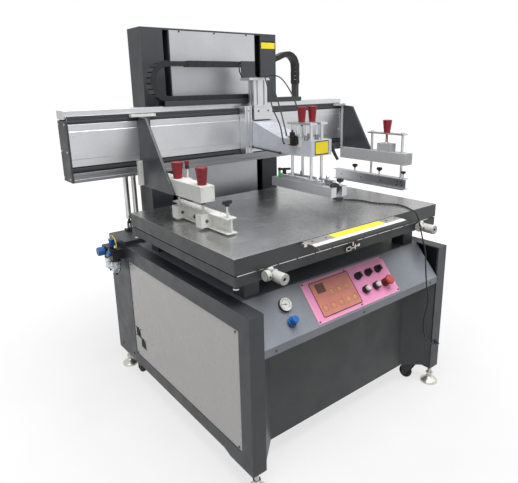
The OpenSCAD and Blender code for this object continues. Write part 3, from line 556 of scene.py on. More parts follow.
# Name, place, aim, size in metres and power in watts
LAMPS = (
    ("overhead", (-200, -600, 3900), (0, 400, 800), 3.0, 155),
    ("key", (-2300, -500, 2300), (0, 500, 800), 2.2, 16),
    ("fill", (2600, -1300, 2200), (0, 500, 700), 2.4, 8),
    ("rear", (300, 2600, 3200), (0, 600, 900), 2.4, 22),
)


class PRINTER_OT_stage(Operator):
    """Camera at the photographed view, pale floor and soft lamps"""
    bl_idname = "printer.stage"
    bl_label = "Stage"

    def execute(self, context):
        context.scene.view_settings.view_transform = "Standard"
        self.camera(context.scene)
        self.floor(context.scene)
        self.lamps(context.scene)
        return {"FINISHED"}

    def link(self, thing, axes, place):
        """Links an object with its own axes along three unit vectors, at a place."""
        matrix = np.eye(4)
        matrix[:3] = np.stack([*axes, at(place)], 1)
        thing.matrix_world = Matrix(matrix.tolist())
        bpy.context.scene.collection.objects.link(thing)

    def camera(self, scene):
        """Lens and direction of the photo."""
        camera = bpy.data.cameras.new("camera")
        camera.sensor_fit = "HORIZONTAL"
        camera.sensor_width = SENSOR
        camera.lens = FOCAL_LENGTH * SENSOR / PHOTO_WIDTH
        camera.shift_x = (PHOTO_WIDTH / 2 - CENTRE[0]) / PHOTO_WIDTH
        camera.shift_y = (CENTRE[1] - PHOTO_HEIGHT / 2) / PHOTO_WIDTH
        camera.clip_end = 50
        yaw, pitch, roll = np.radians(CAMERA_TURN)
        forward = np.array([-np.sin(yaw) * np.cos(pitch), np.cos(yaw) * np.cos(pitch), -np.sin(pitch)])
        level = np.array([np.cos(yaw), np.sin(yaw), 0])
        rise = np.cross(level, forward)
        axes = np.cos(roll) * level + np.sin(roll) * rise, np.cos(roll) * rise - np.sin(roll) * level, -forward
        scene.camera = bpy.data.objects.new("camera", camera)
        self.link(scene.camera, axes, CAMERA_PLACE)

    def floor(self, scene):
        """A pale disc on the ground. Its own glow reaches only the camera and gloss, and grows from 0.72 to full
        white with the distance from the machine, so the ground fades out and the soft shadow stays."""
        mesh = bpy.data.meshes.new("floor")
        mesh.from_pydata(circle(14, 96, False).tolist(), [], [list(range(96))])
        floor = bpy.data.objects.new("floor", mesh)
        scene.collection.objects.link(floor)
        f = Finish("floor")
        f.put(Base_Color=f.cloud(f.noise(3.0, 4.0), (0.2, 0.2, 0.2), 0.05), Roughness=0.9, Specular_IOR_Level=0.1,
              Emission_Color=WHITE)
        reach = f.node("VectorMath", {0: f.place()}, operation="LENGTH").outputs["Value"]
        glow = f.spread(reach, 0.9, 2.6, 0.72, 1.0)
        path = f.node("LightPath").outputs
        seen = path["Is Camera Ray"]
        for name in ("Is Transmission Ray", "Is Glossy Ray"):
            seen = f.math("MAXIMUM", seen, path[name])
        f.put(Emission_Strength=f.math("MULTIPLY", glow, seen))
        mesh.materials.append(f.mat)

    def lamps(self, scene):
        """A world that is white to the camera, softer in gloss and weak as diffuse light, and four round lamps."""
        scene.world = bpy.data.worlds.new("studio")
        scene.world.use_nodes = True
        world = Tree(scene.world.node_tree)
        back = world.tree.nodes["Background"].inputs
        path = world.node("LightPath").outputs
        light = WORLD_LIGHT
        for name, strength in WORLD_SEEN:
            light = world.math("MULTIPLY_ADD", path[name], strength, light)
        world.tree.links.new(light, back["Strength"])
        back["Color"].default_value = WHITE
        for name, place, aim, size, power in LAMPS:
            lamp = bpy.data.lights.new(name, "AREA")
            lamp.shape = "DISK"
            lamp.size = size
            lamp.energy = power
            z = at(place) - at(aim)
            z /= np.linalg.norm(z)
            x = np.cross(BACK, z)
            x /= np.linalg.norm(x)
            self.link(bpy.data.objects.new(name, lamp), (x, np.cross(z, x), z), place)


class PRINTER_OT_finishes(Operator):
    """Every finish of the machine, put on the CAD nodes"""
    bl_idname = "printer.finishes"
    bl_label = "Finishes"

    def execute(self, context):
        for name, (kind, tone, settings) in FINISHES.items():
            tone = tone or tuple(getattr(context.scene.printer_colours, name))
            MATERIALS[name] = kind(name, tone, **settings)
        for node, piece in FRAME["nodes"].items():
            piece.data.materials.clear()
            piece.data.materials.append(MATERIALS[NODE_SLOT[node]])
        return {"FINISHED"}


# Cords

CORD = [
    (520, -2, 244), (520, -14, 244), (514, -20, 245), (498, -20, 250), (478, -18, 256), (452, -16, 266),
    (424, -16, 292), (404, -16, 324), (392, -16, 356), (386, -16, 391), (389, -16, 420), (398, -16, 450),
    (408, -16, 476), (409, -16, 502), (402, -16, 530), (394, -14, 560), (390, -12, 590), (388, -8, 628),
    (392, -2, 664), (398, 6, 700), (398, 12, 730), (392, 20, 765), (384, 26, 803), (374, 32, 845),
    (366, 38, 874), (364, 52, 889), (370, 72, 891.4), (394, 118, 891.4), (402, 168, 891.4),
    (376, 212, 891.4), (352, 262, 891.4), (350, 306, 891.4), (336, 352, 891.4), (300, 392, 891.4),
]
HEAD_HOSES = [
    [(186, 806, 1455), (196, 780, 1460), (196, 720, 1448), (188, 660, 1410), (178, 600, 1350), (170, 560, 1290),
     (166, 542, 1262)],
    [(172, 806, 1455), (168, 770, 1452), (140, 700, 1400), (110, 620, 1310), (86, 560, 1230), (80, 540, 1192)],
    [(158, 806, 1455), (150, 776, 1448), (124, 720, 1390), (100, 660, 1310), (84, 590, 1236), (78, 562, 1164),
     (78, 552, 1160)],
]


class PRINTER_OT_cords(Operator):
    """Foot switch cord over the table and the air hoses of the head"""
    bl_idname = "printer.cords"
    bl_label = "Cords and hoses"

    def execute(self, context):
        sizes = context.scene.printer_sizes
        cord, path = tube("foot_switch_lead", "base", "rubber_black", CORD, sizes.cord_diameter * 500)
        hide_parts("foot_switch_cord")
        reach = float(np.linalg.norm(np.diff(path, axis=0), axis=1).sum())
        tuple(at(CORD[0]))
        for k, route in enumerate(HEAD_HOSES):
            hose, _ = tube(f"head_hose_{k + 1}", "head", "rubber_black", route, sizes.hose_diameter * 500)
            if k == 0:
                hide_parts("head_hoses")
        return {"FINISHED"}


# Sheet metal and table

EASED = ("side_frames", "side_panels", "console", "front_panels", "table_frame", "column", "beam", "beam_rails",
         "beam_ends", "left_gusset", "left_arm_tube", "right_arm_tube", "left_clamp_rail", "right_clamp_rail",
         "head_carriage", "head_arm", "squeegee_bar", "flood_bar")
FINISH_OF = {"left_clamp_rail": "white_paint", "right_arm_tube": "arm_grey", "head_arm": "head_paint",
             "right_clamp_rail": "anodised"}
RIGHT_ROD = (782, 533)
BEAM_FRONT = 868


def refinish(piece, index, *slots):
    """Gives faces of a piece other finishes: index 0 keeps the first one, 1 takes the first slot, and so on."""
    for slot in slots:
        piece.data.materials.append(MATERIALS[slot])
    piece.data.polygons.foreach_set("material_index", index.astype(int))


def of_faces(piece, what):
    """The centre or normal of each face, as an array."""
    values = np.empty(len(piece.data.polygons) * 3)
    piece.data.polygons.foreach_get(what, values)
    return values.reshape(-1, 3)


class PRINTER_OT_sheet_edges(Operator):
    """Rounded edges on the sheet metal and the machined pieces"""
    bl_idname = "printer.sheet_edges"
    bl_label = "Rounded edges"

    def execute(self, context):
        width = context.scene.printer_sizes.edge_round * 1000
        for node in EASED:
            piece = eased(node, width, FINISH_OF.get(node))
            if node == "beam":
                self.groove_shade_and_rail(piece)
            elif node == "right_clamp_rail":
                self.threads(piece)
        return {"FINISHED"}

    def threads(self, piece):
        """Threaded bronze on the right clamp's rod, between the arm's block and the bridge plate."""
        x, y, z = (of_faces(piece, "center") * 1000 + MIDDLE).T
        on_rod = np.hypot(x - RIGHT_ROD[0], y - RIGHT_ROD[1]) < 8
        refinish(piece, on_rod & (z > 1060) & (z < 1150), "thread_bronze")

    def groove_shade_and_rail(self, piece):
        """Dark steel as painted shade in the grooves above and below the beam's light face, grey on its lower rail."""
        _, y, z = (of_faces(piece, "center") * 1000 + MIDDLE).T
        front = y < BEAM_FRONT
        # painted shade: the two dark bands are the groove faces, darkened to stand for the shade inside the grooves
        dark = front & ((z < 1110.5) & (z > 1080) | (z > 1278.5) & (z < 1309.5))
        low = front & (z < 1085)
        refinish(piece, dark + 2 * (low & ~dark), "dark_steel", "rail_grey")


# Hand knobs

RED_BORE = 5.4
RED_PROFILE = [
    (0, 61.5), (RED_BORE, 61.5), (RED_BORE, 0), (14, 0), (16.6, 1), (17.6, 3), (17.6, 8), (17.2, 9), (17.9, 11),
    (18.6, 16), (19.6, 26), (21, 38), (22.4, 50), (23.3, 58), (23.9, 62), (23.8, 64), (23, 65.4), (21.6, 66),
    (19.5, 65.6), (18.6, 64.6), (17.4, 64.6), (0, 65),
]
SLIM = dict(slim=0.84, depth=0.6)
RED_KNOBS = (
    ("left_front", "left_knob_front", (-438, 425, 1059.3), {}),
    ("left_rear", "left_knob_rear", (-438, 610, 1059.3), {}),
    ("right", "right_knob", (*RIGHT_ROD, 1158.3), dict(bore=6.8)),
    ("squeegee", "squeegee_knob", (101.5, 464.5, 1255.3), SLIM),
    ("flood", "flood_knob", (164, 464.5, 1255.3), SLIM),
)
WHITE_PROFILE = [
    (0, 0), (16.5, 0), (18, 0.8), (18.8, 3), (19.4, 20), (20, 50), (19.8, 52.4), (18.8, 53.8), (13.6, 54),
    (13.2, 53.2), (12.2, 53.2), (11.8, 54), (7.4, 54), (6.8, 53.2), (6.8, 46), (0, 46),
]
TABLE_KNOBS = (
    ("left_table_grip", "table_knob_left", (-400, 54, 802), FRONT),
    ("right_table_grip", "table_knob_right", (445, 54, 802), FRONT),
    ("side_table_grip", "table_knob_side", (564, 420, 802), RIGHT),
)


class PRINTER_OT_red_knobs(Operator):
    """Tapered red hand knobs with shallow flutes, and the threaded spindles of the two on the print head"""
    bl_idname = "printer.red_knobs"
    bl_label = "Red knobs"

    def execute(self, context):
        for name, node, place, form in RED_KNOBS:
            body = NODE_BODY[node]
            make(name + "_red_knob", body, "red_plastic", [self.knob(place, **form)], replaces=[node], crease=50)
            if form is SLIM:
                spindle = np.vstack([(0, 1238), (4, 1238), thread(5, 0.5, 1239, 1267, 1.0), (4, 1268), (0, 1268)])
                make(name + "_spindle", body, "dark_steel", [spun(spindle, (*place[:2], 0), 20)], crease=70)
        return {"FINISHED"}

    def knob(self, place, bore=RED_BORE, slim=1.0, depth=0.7):
        """The red profile with another bore, or with its outer radii made slimmer by a factor."""
        profile = [(bore if r == RED_BORE else slim * r, z) for r, z in RED_PROFILE]
        return spun(profile, place, 96, lobes=24, depth=depth, span=(12, 60))


class PRINTER_OT_table_knobs(Operator):
    """Smooth white table knobs with a ringed face and a socket, and the round lugs that hold their screws"""
    bl_idname = "printer.table_knobs"
    bl_label = "Table knobs"

    def execute(self, context):
        screw = [(0, -24), (6, -24), (6, 0.5), (0, 0.5)]
        socket = [(0, 46.2), (6.2, 46.2), (6.2, 51.5), (5.2, 51.5), (5.2, 47.5), (0, 47.5)]
        for name, node, place, axis in TABLE_KNOBS:
            make(name, NODE_BODY[node], "knob_white",
                 [spun(WHITE_PROFILE, place, 56, axis), spun(screw, place, 20, axis)], replaces=[node], crease=40)
            make(name + "_socket", NODE_BODY[node], "black_plastic", [spun(socket, place, 6, axis)])
            self.lugs(name, np.array(place, float), axis)
        return {"FINISHED"}

    def lugs(self, name, centre, axis):
        """Collar on a cross shaft, its bearing block and the small barrel above, all light, with a set screw."""
        side = np.array(LEFT if axis[1] else BACK, float)
        inward = -np.array(axis, float)
        collar = centre + inward * -2 + side * 24 + (0, 0, 8)
        ring = [(0, -0.4), (16, -0.4), (17.8, 0.6), (18.4, 2.4), (18.4, 17.6), (17.8, 19.4), (16, 20.4), (11, 20.4),
                (10.4, 20.1), (0, 20.1)]
        shapes = [spun(ring, collar, 40, side), block(centre + inward * 1.6 + side * 24.2 - (0, 0, 12.4),
                                                      centre + inward * 15.8 - side * 18.4 + (0, 0, 14.4))]
        if axis[1]:
            barrel = centre + inward * 9
            shapes.append(rod(barrel + (-20.3, 0, 20), barrel + (0.3, 0, 20), 8.3, 28, 1.2))
        make(name + "_lugs", "base", "knob_white", shapes, bevel=0.8)
        make(name + "_set_screw", "base", "dark_steel",
             [cap_screw(collar + side * 10 + inward * -18.2, -inward, 3.6)])


# Cable chains

LINK_PITCH = 21.0
LINK_SHEET = 1.8

# The flat chain's plane, its bend's middle and its two runs, and the upright chain's plane, side and bend
CHAIN_Y, BEND_X, CHAIN_LOW, CHAIN_TOP = 900, -309, 1361, 1513
UPRIGHT_Y, UPRIGHT_X, UPRIGHT_BEND = 1010, 553, 65


def chain_links(path, width, height):
    """Links set along a path in X and Z at equal steps of its length: each is a pair of eight-sided side plates,
    one link's set inside the next one's, and a crossbar on either face."""
    path = np.asarray(path, float)
    reach = np.r_[0, np.cumsum(np.linalg.norm(np.diff(path, axis=0), axis=1))]
    count = max(2, int(round(reach[-1] / LINK_PITCH)))
    step = reach[-1] / count
    half, h = step * 0.62, height / 2
    corner = np.array([(-half, -h * 0.55), (-half * 0.72, -h), (half * 0.72, -h), (half, -h * 0.55)])
    sheet, faces = prism(np.vstack([corner, -corner]), 1)
    shapes = []
    for k in range(count):
        start, end = (np.array([np.interp(v * step, reach, path[:, i]) for i in range(3)]) for v in (k, k + 1))
        along = (end - start) / step
        basis = np.array([along, BACK, np.cross(along, BACK)])
        middle = (start + end) / 2
        edge = width / 2 - k % 2
        for side in SIDES:
            depth = np.where(sheet[:, 2] > 0.5, side * edge, side * (edge - LINK_SHEET))
            shapes.append((np.stack([sheet[:, 0], depth, sheet[:, 1]], 1) @ basis + middle, faces))
        for level in (-h, h - LINK_SHEET):
            bar = block((-step * 0.47, -width / 2 + LINK_SHEET, level),
                        (step * 0.47, width / 2 - LINK_SHEET, level + LINK_SHEET))
            shapes.append((bar[0] @ basis + middle, bar[1]))
    return shapes


def arc_path(x, y, z, r, start, end):
    """Points of an arc in X and Z, from one angle to another in degrees."""
    a = np.radians(np.linspace(start, end, 40))
    return np.stack([x + r * np.cos(a), 0 * a + y, z + r * np.sin(a)], 1)


class PRINTER_OT_chains(Operator):
    """The two cable chains, link by link, with the bracket and short hose at the head"""
    bl_idname = "printer.chains"
    bl_label = "Cable chains"

    def execute(self, context):
        middle, radius = (CHAIN_TOP + CHAIN_LOW) / 2, (CHAIN_TOP - CHAIN_LOW) / 2
        bend = arc_path(BEND_X, CHAIN_Y, middle, radius, 270, 90)
        make("flat_chain_links", "flat_chain", "chain_plastic",
             chain_links(np.vstack([(150, CHAIN_Y, CHAIN_LOW), (BEND_X, CHAIN_Y, CHAIN_LOW), bend[1:]]), 50, 26),
             replaces=["chain_bend"])
        make("flat_chain_inner_links", "flat_chain", "chain_plastic",
             chain_links([(BEND_X, CHAIN_Y, CHAIN_TOP), (-6, CHAIN_Y, CHAIN_TOP)], 44, 20))
        bracket = plate("y", 867, 872, [(78, 1449), (182, 1449), (160, 1460), (160, 1528), (78, 1528)])
        make("chain_bracket", "head", "dark_steel", [bracket, block((95, 867.5, 1500), (101, 925, 1526))], bevel=0.8)
        loop = smooth_path([(64, 866, 1504), (62, 862, 1486), (66, 858, 1466), (82, 856, 1448)])
        make("chain_hose", "head", "rubber_black", [sweep(loop, 3, 10), rod((64, 866, 1504), (79, 870, 1512), 3)],
             crease=50)
        make("head_chain_links", "head", "chain_plastic",
             chain_links([(-206, CHAIN_Y, CHAIN_TOP), (95, CHAIN_Y, CHAIN_TOP)], 50, 26), replaces=["chain_upper"])
        end = 110
        arc = arc_path(UPRIGHT_X - UPRIGHT_BEND, UPRIGHT_Y, CHAIN_TOP, UPRIGHT_BEND, 0, end)
        run = np.array([-np.sin(np.radians(end)), 0, np.cos(np.radians(end))]) * 105
        make("upright_chain_links", "upright_chain", "chain_plastic",
             chain_links(np.vstack([(UPRIGHT_X, UPRIGHT_Y, 1421), arc, arc[-1] + run]), 46, 26),
             replaces=["chain_arch"])
        return {"FINISHED"}


# Controls, drawn on the console's slope with X across, Y up the slope and Z off the sheet

SLOPE = np.arctan2(134.0, 118.0)
SLOPE_FOOT = 577
GAUGE, REGULATOR, STOP = (-339, 117), (-343, 54), (168, 61)
SELECTORS = {"left": (46, 123), "middle": (107, 123), "right": (168, 123)}
BUTTONS = {"left": (50, 62), "right": (112, 62)}


def sloped(shape, spot=(0, 0)):
    """A shape drawn on the console, set at a spot on it and moved to machine axes."""
    x, up, off = (np.asarray(shape[0], float) + (*spot, 0)).T
    y = up * np.cos(SLOPE) - off * np.sin(SLOPE)
    return np.stack([x, y, SLOPE_FOOT + up * np.sin(SLOPE) + off * np.cos(SLOPE)], 1), shape[1]


def slope_spun(profile, spot, n=40, **flutes):
    return sloped(lathe(profile, n, **flutes), spot)


def slope_sheet(low, high, outline):
    return sloped(plate("z", low, high, outline))


class PRINTER_OT_gauge(Operator):
    """Pressure gauge with its dial, scale and needle, and the blue regulator knob below it"""
    bl_idname = "printer.gauge"
    bl_label = "Gauge and regulator"

    def execute(self, context):
        bezel = [(22.6, 11.2), (22.6, 13.8), (23.2, 14.6), (24, 14.6), (24.6, 13.6), (24.8, 11), (24.8, 3), (25.6, 2),
                 (25.6, 0.2), (22.6, 0.2), (22.6, 11.2)]
        make("gauge_bezel", "base", "chrome_rod", [slope_spun(bezel, GAUGE, 56)], crease=40)
        make("gauge_dial", "base", "white_plastic",
             [slope_spun([(0, 11.1), (22.5, 11.1), (22.5, 11.7), (0, 11.7)], GAUGE, 48)])
        marks = []
        for k in range(51):
            reach, half = (2.4, 0.28) if k % 10 else (4.2, 0.5)
            marks.append(self.turned(block((18.8 - reach, -half, 11.7), (18.8, half, 12)), 225 - 270 * k / 50))
        needle = plate("z", 12.2, 12.9, [(-5, -1.1), (13, -0.5), (16.5, 0), (13, 0.5), (-5, 1.1)])
        marks += [self.turned(needle, 168), slope_spun([(0, 12), (2.6, 12), (2.6, 13.4), (0, 13.8)], GAUGE, 16)]
        make("gauge_scale", "base", "black_plastic", marks)
        base = [(0, 6.4), (17, 6.4), (18.2, 7.4), (18.2, 12.6), (17, 13.6), (0, 13.6)]
        cap = [(0, 13), (12.6, 13), (13.4, 15), (13.2, 34), (12.2, 36), (9, 36.6), (8.4, 36), (0, 36)]
        stem = [(0, 0.6), (6.9, 0.6), (6.9, 7), (0, 7)]
        make("regulator_cap", "pressure_knob", "blue_plastic",
             [slope_spun(base, REGULATOR, 72, lobes=12, depth=1.8),
              slope_spun(cap, REGULATOR, 60, lobes=20, depth=0.6, span=(14, 33)), slope_spun(stem, REGULATOR, 24)],
             replaces=["regulator_knob"], crease=40)
        return {"FINISHED"}

    def turned(self, shape, degrees):
        """A shape of the dial, turned about its middle."""
        c, s = np.cos(np.radians(degrees)), np.sin(np.radians(degrees))
        return sloped((shape[0] @ np.array([(c, s, 0), (-s, c, 0), (0, 0, 1)]), shape[1]), GAUGE)


class PRINTER_OT_control_panel(Operator):
    """Pink plate with its screws, orange key membrane with a dark display, selectors, push buttons and stop"""
    bl_idname = "printer.control_panel"
    bl_label = "Control panel"

    def execute(self, context):
        self.sheets()
        self.keys()
        self.collars()
        for name, spot in SELECTORS.items():
            base = [(0, 2.4), (7.9, 2.4), (7.9, 14.4), (11.6, 14.6), (12.2, 16), (12, 19), (0, 19.6)]
            lever = plate("z", 17, 31.5, rounded(-3.8, -11.6, 3.8, 11.6, 3.7, 6))
            body = f"{name}_selector"
            make(f"{name}_selector_lever", body, "black_plastic", [slope_spun(base, spot), sloped(lever, spot)],
                 bevel=0.8, replaces=[f"selector_{name}"])
            make(f"{name}_selector_mark", body, "white_plastic",
                 [sloped(block((-0.7, 2, 31.4), (0.7, 10, 31.9)), spot)])
        for name, spot in BUTTONS.items():
            cap = [(0, 6.4), (10.9, 6.4), (10.9, 28.6), (10, 29.8), (6, 30.3), (0, 30.4)]
            make(f"{name}_push_cap", f"{name}_button", "white_plastic", [slope_spun(cap, spot)],
                 replaces=[f"button_{name}"], crease=40)
        head = [(0, 8.4), (8.9, 8.4), (8.9, 29), (16, 29.6), (19, 31.4), (20, 34), (20, 38.6), (18.6, 42), (14, 44),
                (7, 44.9), (0, 45)]
        make("stop_mushroom", "emergency_stop", "stop_cap",
             [slope_spun(head, STOP, 64, lobes=16, depth=0.5, span=(31, 39))], replaces=["stop_button"], crease=45)
        return {"FINISHED"}

    def sheets(self):
        """Plate, membrane, their borders and the display."""
        make("pink_panel", "base", "pink_plate", [slope_sheet(0.2, 2, rounded(-236, 7, 228, 171, 3))], bevel=0.5,
             replaces=["control_plate"])
        make("panel_screws", "base", "dark_steel",
             [sloped(cap_screw((0, 0, 2), UP, 3.6, 2.4), (x, s)) for x in (-228, -4, 220) for s in (15, 163)])
        make("key_membrane", "base", "orange_film", [slope_sheet(2, 3, rounded(-200, 24, 7, 158, 7))], bevel=0.4,
             replaces=["keypad"])
        edge = border(rounded(-201.5, 22.5, 8.5, 159.5, 8), rounded(-198.5, 25.5, 5.5, 156.5, 6), 2.6, 3.2)
        make("membrane_border", "base", "black_plastic", [sloped(edge)])
        line = border(rounded(-231, 12, 223, 166, 3), rounded(-229.6, 13.4, 221.6, 164.6, 2), 2, 2.25)
        make("panel_outline", "base", "white_plastic", [sloped(line)])
        make("display_window", "base", "display_film", [slope_sheet(3, 3.6, rounded(-178, 111, -134, 148, 3))],
             bevel=0.3)
        make("display_bars", "base", "black_plastic",
             [sloped(block((x - 0.5, 115, 3.5), (x + 0.5, 144, 3.75))) for x in np.arange(-174, -137, 4.6)])

    def keys(self):
        """Two rows of domed keys with thin outlines."""
        spots = [(x, 103) for x in (-113.5, -71.6, -32)] + [(x, 54) for x in (-175.7, -134.4, -92.5, -51.7, -16)]
        key = [(0, 3), (6.2, 3), (6.2, 3.6), (5.2, 4.3), (0, 4.5)]
        make("membrane_keys", "base", "key_film", [slope_spun(key, spot, 24) for spot in spots])
        line = border(rounded(-14, -12, 14, 12, 4), rounded(-13, -11, 13, 11, 3.4), 3, 3.2)
        make("key_outlines", "base", "bronze", [sloped(line, spot) for spot in spots])

    def collars(self):
        """Threaded collars of the selectors and buttons, of the stop, and the seats of the regulator and gauge."""
        collar = [(8.1, 2), (8.1, 13.6), (12.4, 14), (14.6, 13.2), (15.2, 11.6), (15.2, 2), (8.1, 2)]
        wide = [(11.2, 2), (11.2, 21.6), (13.4, 22), (14.8, 21), (15.2, 18), (15.2, 2), (11.2, 2)]
        tall = [(9.2, 2), (9.2, 20.6), (13.4, 21), (15.4, 19.6), (16.2, 16), (16.2, 2), (9.2, 2)]
        seat = [(7.1, 0), (7.1, 5.6), (11, 6), (13, 4.6), (13.4, 0), (7.1, 0)]
        back = [(0, 0.1), (24, 0.1), (25.6, 2), (25.8, 11), (22, 11), (0, 11)]
        make("stop_collar", "base", "red_plastic", [slope_spun(tall, STOP)], crease=40)
        make("switch_collars", "base", "black_plastic",
             [slope_spun(collar, spot) for spot in SELECTORS.values()]
             + [slope_spun(wide, spot) for spot in BUTTONS.values()]
             + [slope_spun(seat, REGULATOR, 36), slope_spun(back, GAUGE, 48)], replaces=["panel_fittings"], crease=40)


# Base

FEET = [(x, y) for x in (-520, 520) for y in (20, 1098)]
CASTERS = {"front_left": (-463, 94), "front_right": (463, 94), "rear_left": (-506, 965), "rear_right": (506, 965)}
WHEEL_BACK, WHEEL_Z = 18, 62
VENTS = ((884, 303), (836, 262))

# Distance from the middle plane to the side panels, the side frames, and the layers of the fans
PANEL_FACE, FRAME_FACE = 548.1, 550.2
HUB_FACE, RING_FACE, SPOKE_FACE, GUARD_FACE = 548.2, 548.6, 550.6, 551.2


class PRINTER_OT_feet(Operator):
    """Domed levelling feet with their screws and nuts, and the casters' forks, plates and axles"""
    bl_idname = "printer.feet"
    bl_label = "Feet and casters"

    def execute(self, context):
        dome = [(0, 28), (38, 28), (40, 29.4), (40, 33), (39.2, 34.4), (38.6, 35.4), (38.4, 38), (36, 40.6), (28, 46),
                (20, 51), (15, 55), (13.6, 58), (13.4, 60), (0, 60)]
        screw = np.vstack([(0, 59), thread(8.6, 0.7, 60, 113, 1.25), (0, 113)])
        make("foot_domes", "base", "foot_metal", [spun(dome, (x, y, 0), 64) for x, y in FEET],
             replaces=["feet_and_forks"], crease=50)
        make("foot_screws", "base", "zinc",
             [shape for x, y in FEET for shape in (spun(screw, (x, y, 0), 20), hex_nut((x, y, 70), UP, 16, 10),
                                                   hex_nut((x, y, 60), UP, 12, 7))], crease=40)
        make("caster_forks", "base", "dark_steel", [s for x, y in CASTERS.values() for s in self.fork(x, y)], bevel=0.5)
        return {"FINISHED"}

    def fork(self, x, y):
        """Two legs, two top plates, a swivel ring, the axle and its nuts."""
        leg = [(y - 26, 121), (y + 30, 121), (y + 32, 100), (y + 28, 54), (y + 24, 49), (y + 12, 49), (y + 6, 54),
               (y - 16, 92), (y - 26, 108)]
        axle_y = y + WHEEL_BACK
        return [plate("x", x + side * 15.2 - 1.3, x + side * 15.2 + 1.3, leg) for side in SIDES] + [
            block((x - 16.5, y - 26, 117.5), (x + 16.5, y + 30, 120.5)),
            block((x - 21, y - 34, 121), (x + 21, y + 40, 124.8)),
            post(x, y, 117, 122, 14, 28, 0.8),
            rod((x - 19, axle_y, WHEEL_Z), (x + 19, axle_y, WHEEL_Z), 4.4, 14, 0.8),
            hex_nut((x - 19.6, axle_y, WHEEL_Z), RIGHT, 7, 3.4),
            hex_nut((x + 16.4, axle_y, WHEEL_Z), RIGHT, 7, 3.4)]


class PRINTER_OT_wheels(Operator):
    """Caster wheels with a rounded tyre, a recessed web and a hub"""
    bl_idname = "printer.wheels"
    bl_label = "Wheels"

    def execute(self, context):
        half = [(5, -12.5), (10, -12.5), (10.6, -11.6), (11, -8), (20, -7.4), (22, -9.4), (23, -11), (26, -11.4),
                (29, -9.6), (30.4, -6), (31, -2)]
        profile = half + [(r, -z) for r, z in half[::-1]] + half[:1]
        for name, (x, y) in CASTERS.items():
            node = "wheel_" + name
            make(node + "_tyre", NODE_BODY[node], "rubber_black",
                 [spun(profile, (x, y + WHEEL_BACK, WHEEL_Z), 48, RIGHT)], replaces=[node], crease=50)
        return {"FINISHED"}


class PRINTER_OT_fans(Operator):
    """Axial fans behind the round vents: a dark disc, seven blades, a hub, a wire finger guard and a bright ring"""
    bl_idname = "printer.fans"
    bl_label = "Fans"

    def execute(self, context):
        for side, name in zip(SIDES, ("left", "right")):
            axis = (side, 0, 0)
            frames, rings, heads = [], [], []
            for y, z in VENTS:
                for profile, n, out in (
                    ([(0, -2.4), (25.9, -2.4), (25.9, 0), (25, 0.4), (24, 0), (0, 0)], 48, PANEL_FACE),
                    ([(0, -0.6), (9.6, -0.6), (9.6, 0.4), (9, 1), (0, 1.1)], 28, HUB_FACE),
                ):
                    frames.append(spun(profile, (side * out, y, z), n, axis))
                frames += [moved(self.blade(2 * np.pi * k / 7), (side * FRAME_FACE, y, z), axis) for k in range(7)]
                frames += [moved(sweep(circle(r, 37), 0.8, 6), (side * GUARD_FACE, y, z), axis) for r in (9, 17)]
                rings.append(moved(sweep(circle(25.6, 37), 0.6, 6), (side * RING_FACE, y, z), axis))
                for turn in np.pi / 4 + np.arange(4) * np.pi / 2:
                    tip = np.array([np.cos(turn), np.sin(turn), 0])
                    frames.append(moved(sweep([tip * 7, tip * 29], 0.8, 6), (side * SPOKE_FACE, y, z), axis))
                    spot, _ = moved((tip * 29.2, []), (side * PANEL_FACE, y, z), axis)
                    heads.append(cap_screw(spot, axis, 2.6, 3.4))
            make(f"{name}_fans", "base", "black_plastic", frames)
            make(f"{name}_fan_guards", "base", "chrome_rod", rings)
            make(f"{name}_fan_screws", "base", "dark_steel", heads)
        return {"FINISHED"}

    def blade(self, turn):
        """A swept, tilted blade 0.9 mm thick: its angle grows with its width and with the radius."""
        rows, columns = 4, 6
        r, h = np.meshgrid(np.linspace(9.2, 24.8, columns), [0.0, 0.4, 1.0, 1.3])
        angle = turn + (h - 0.5) * (0.34 + 0.008 * r)
        top = np.stack([r * np.cos(angle), r * np.sin(angle), -0.4 - 1.4 * h], -1).reshape(-1, 3)
        n = rows * columns
        faces = grid_faces(rows, columns, False)
        low = [[i + n for i in face[::-1]] for face in faces]
        ids = np.arange(n).reshape(rows, columns)
        edge = np.r_[ids[0, :-1], ids[:-1, -1], ids[-1, :0:-1], ids[:0:-1, 0]].tolist()
        rim = [[edge[k - 1], edge[k], edge[k] + n, edge[k - 1] + n] for k in range(len(edge))]
        return np.vstack([top, top - (0, 0, 0.9)]), faces + low + rim


class PRINTER_OT_base_screws(Operator):
    """Screws of the side panels, the rear cabinet, the deck and the console's lip, and black sheets behind the
    rear louvres as painted shade inside the cabinet"""
    bl_idname = "printer.base_screws"
    bl_label = "Cabinet screws"

    def execute(self, context):
        dark = []
        for side in SIDES:
            axis = (side, 0, 0)
            dark += screws([(side * PANEL_FACE, y, z) for y, z in ((80, 635), (80, 189), (908, 189), (908, 635))],
                           axis, 4.2, 2.2)
            dark += screws([(side * FRAME_FACE, y, z) for z in (690, 160) for y in (960, 1088)], axis, 4.6, 2.4)
        dark += screws([(x, 940, 711.2) for x in (-462, -240, 240, 462)], UP, 4.2, 2.4)
        dark += screws([(x, -0.2, 561) for x in (-440, 0, 440)], FRONT, 4, 2.2)
        make("cabinet_screws", "base", "dark_steel", dark)
        # painted shade: black sheets behind the louvre slots stand in for the dark inside the cabinet
        make("louvre_backing", "base", "rubber_black",
             [block((x - 6, 1130.4, 254), (x + 186, 1132.9, 428)) for x in (-360, 180)])
        return {"FINISHED"}


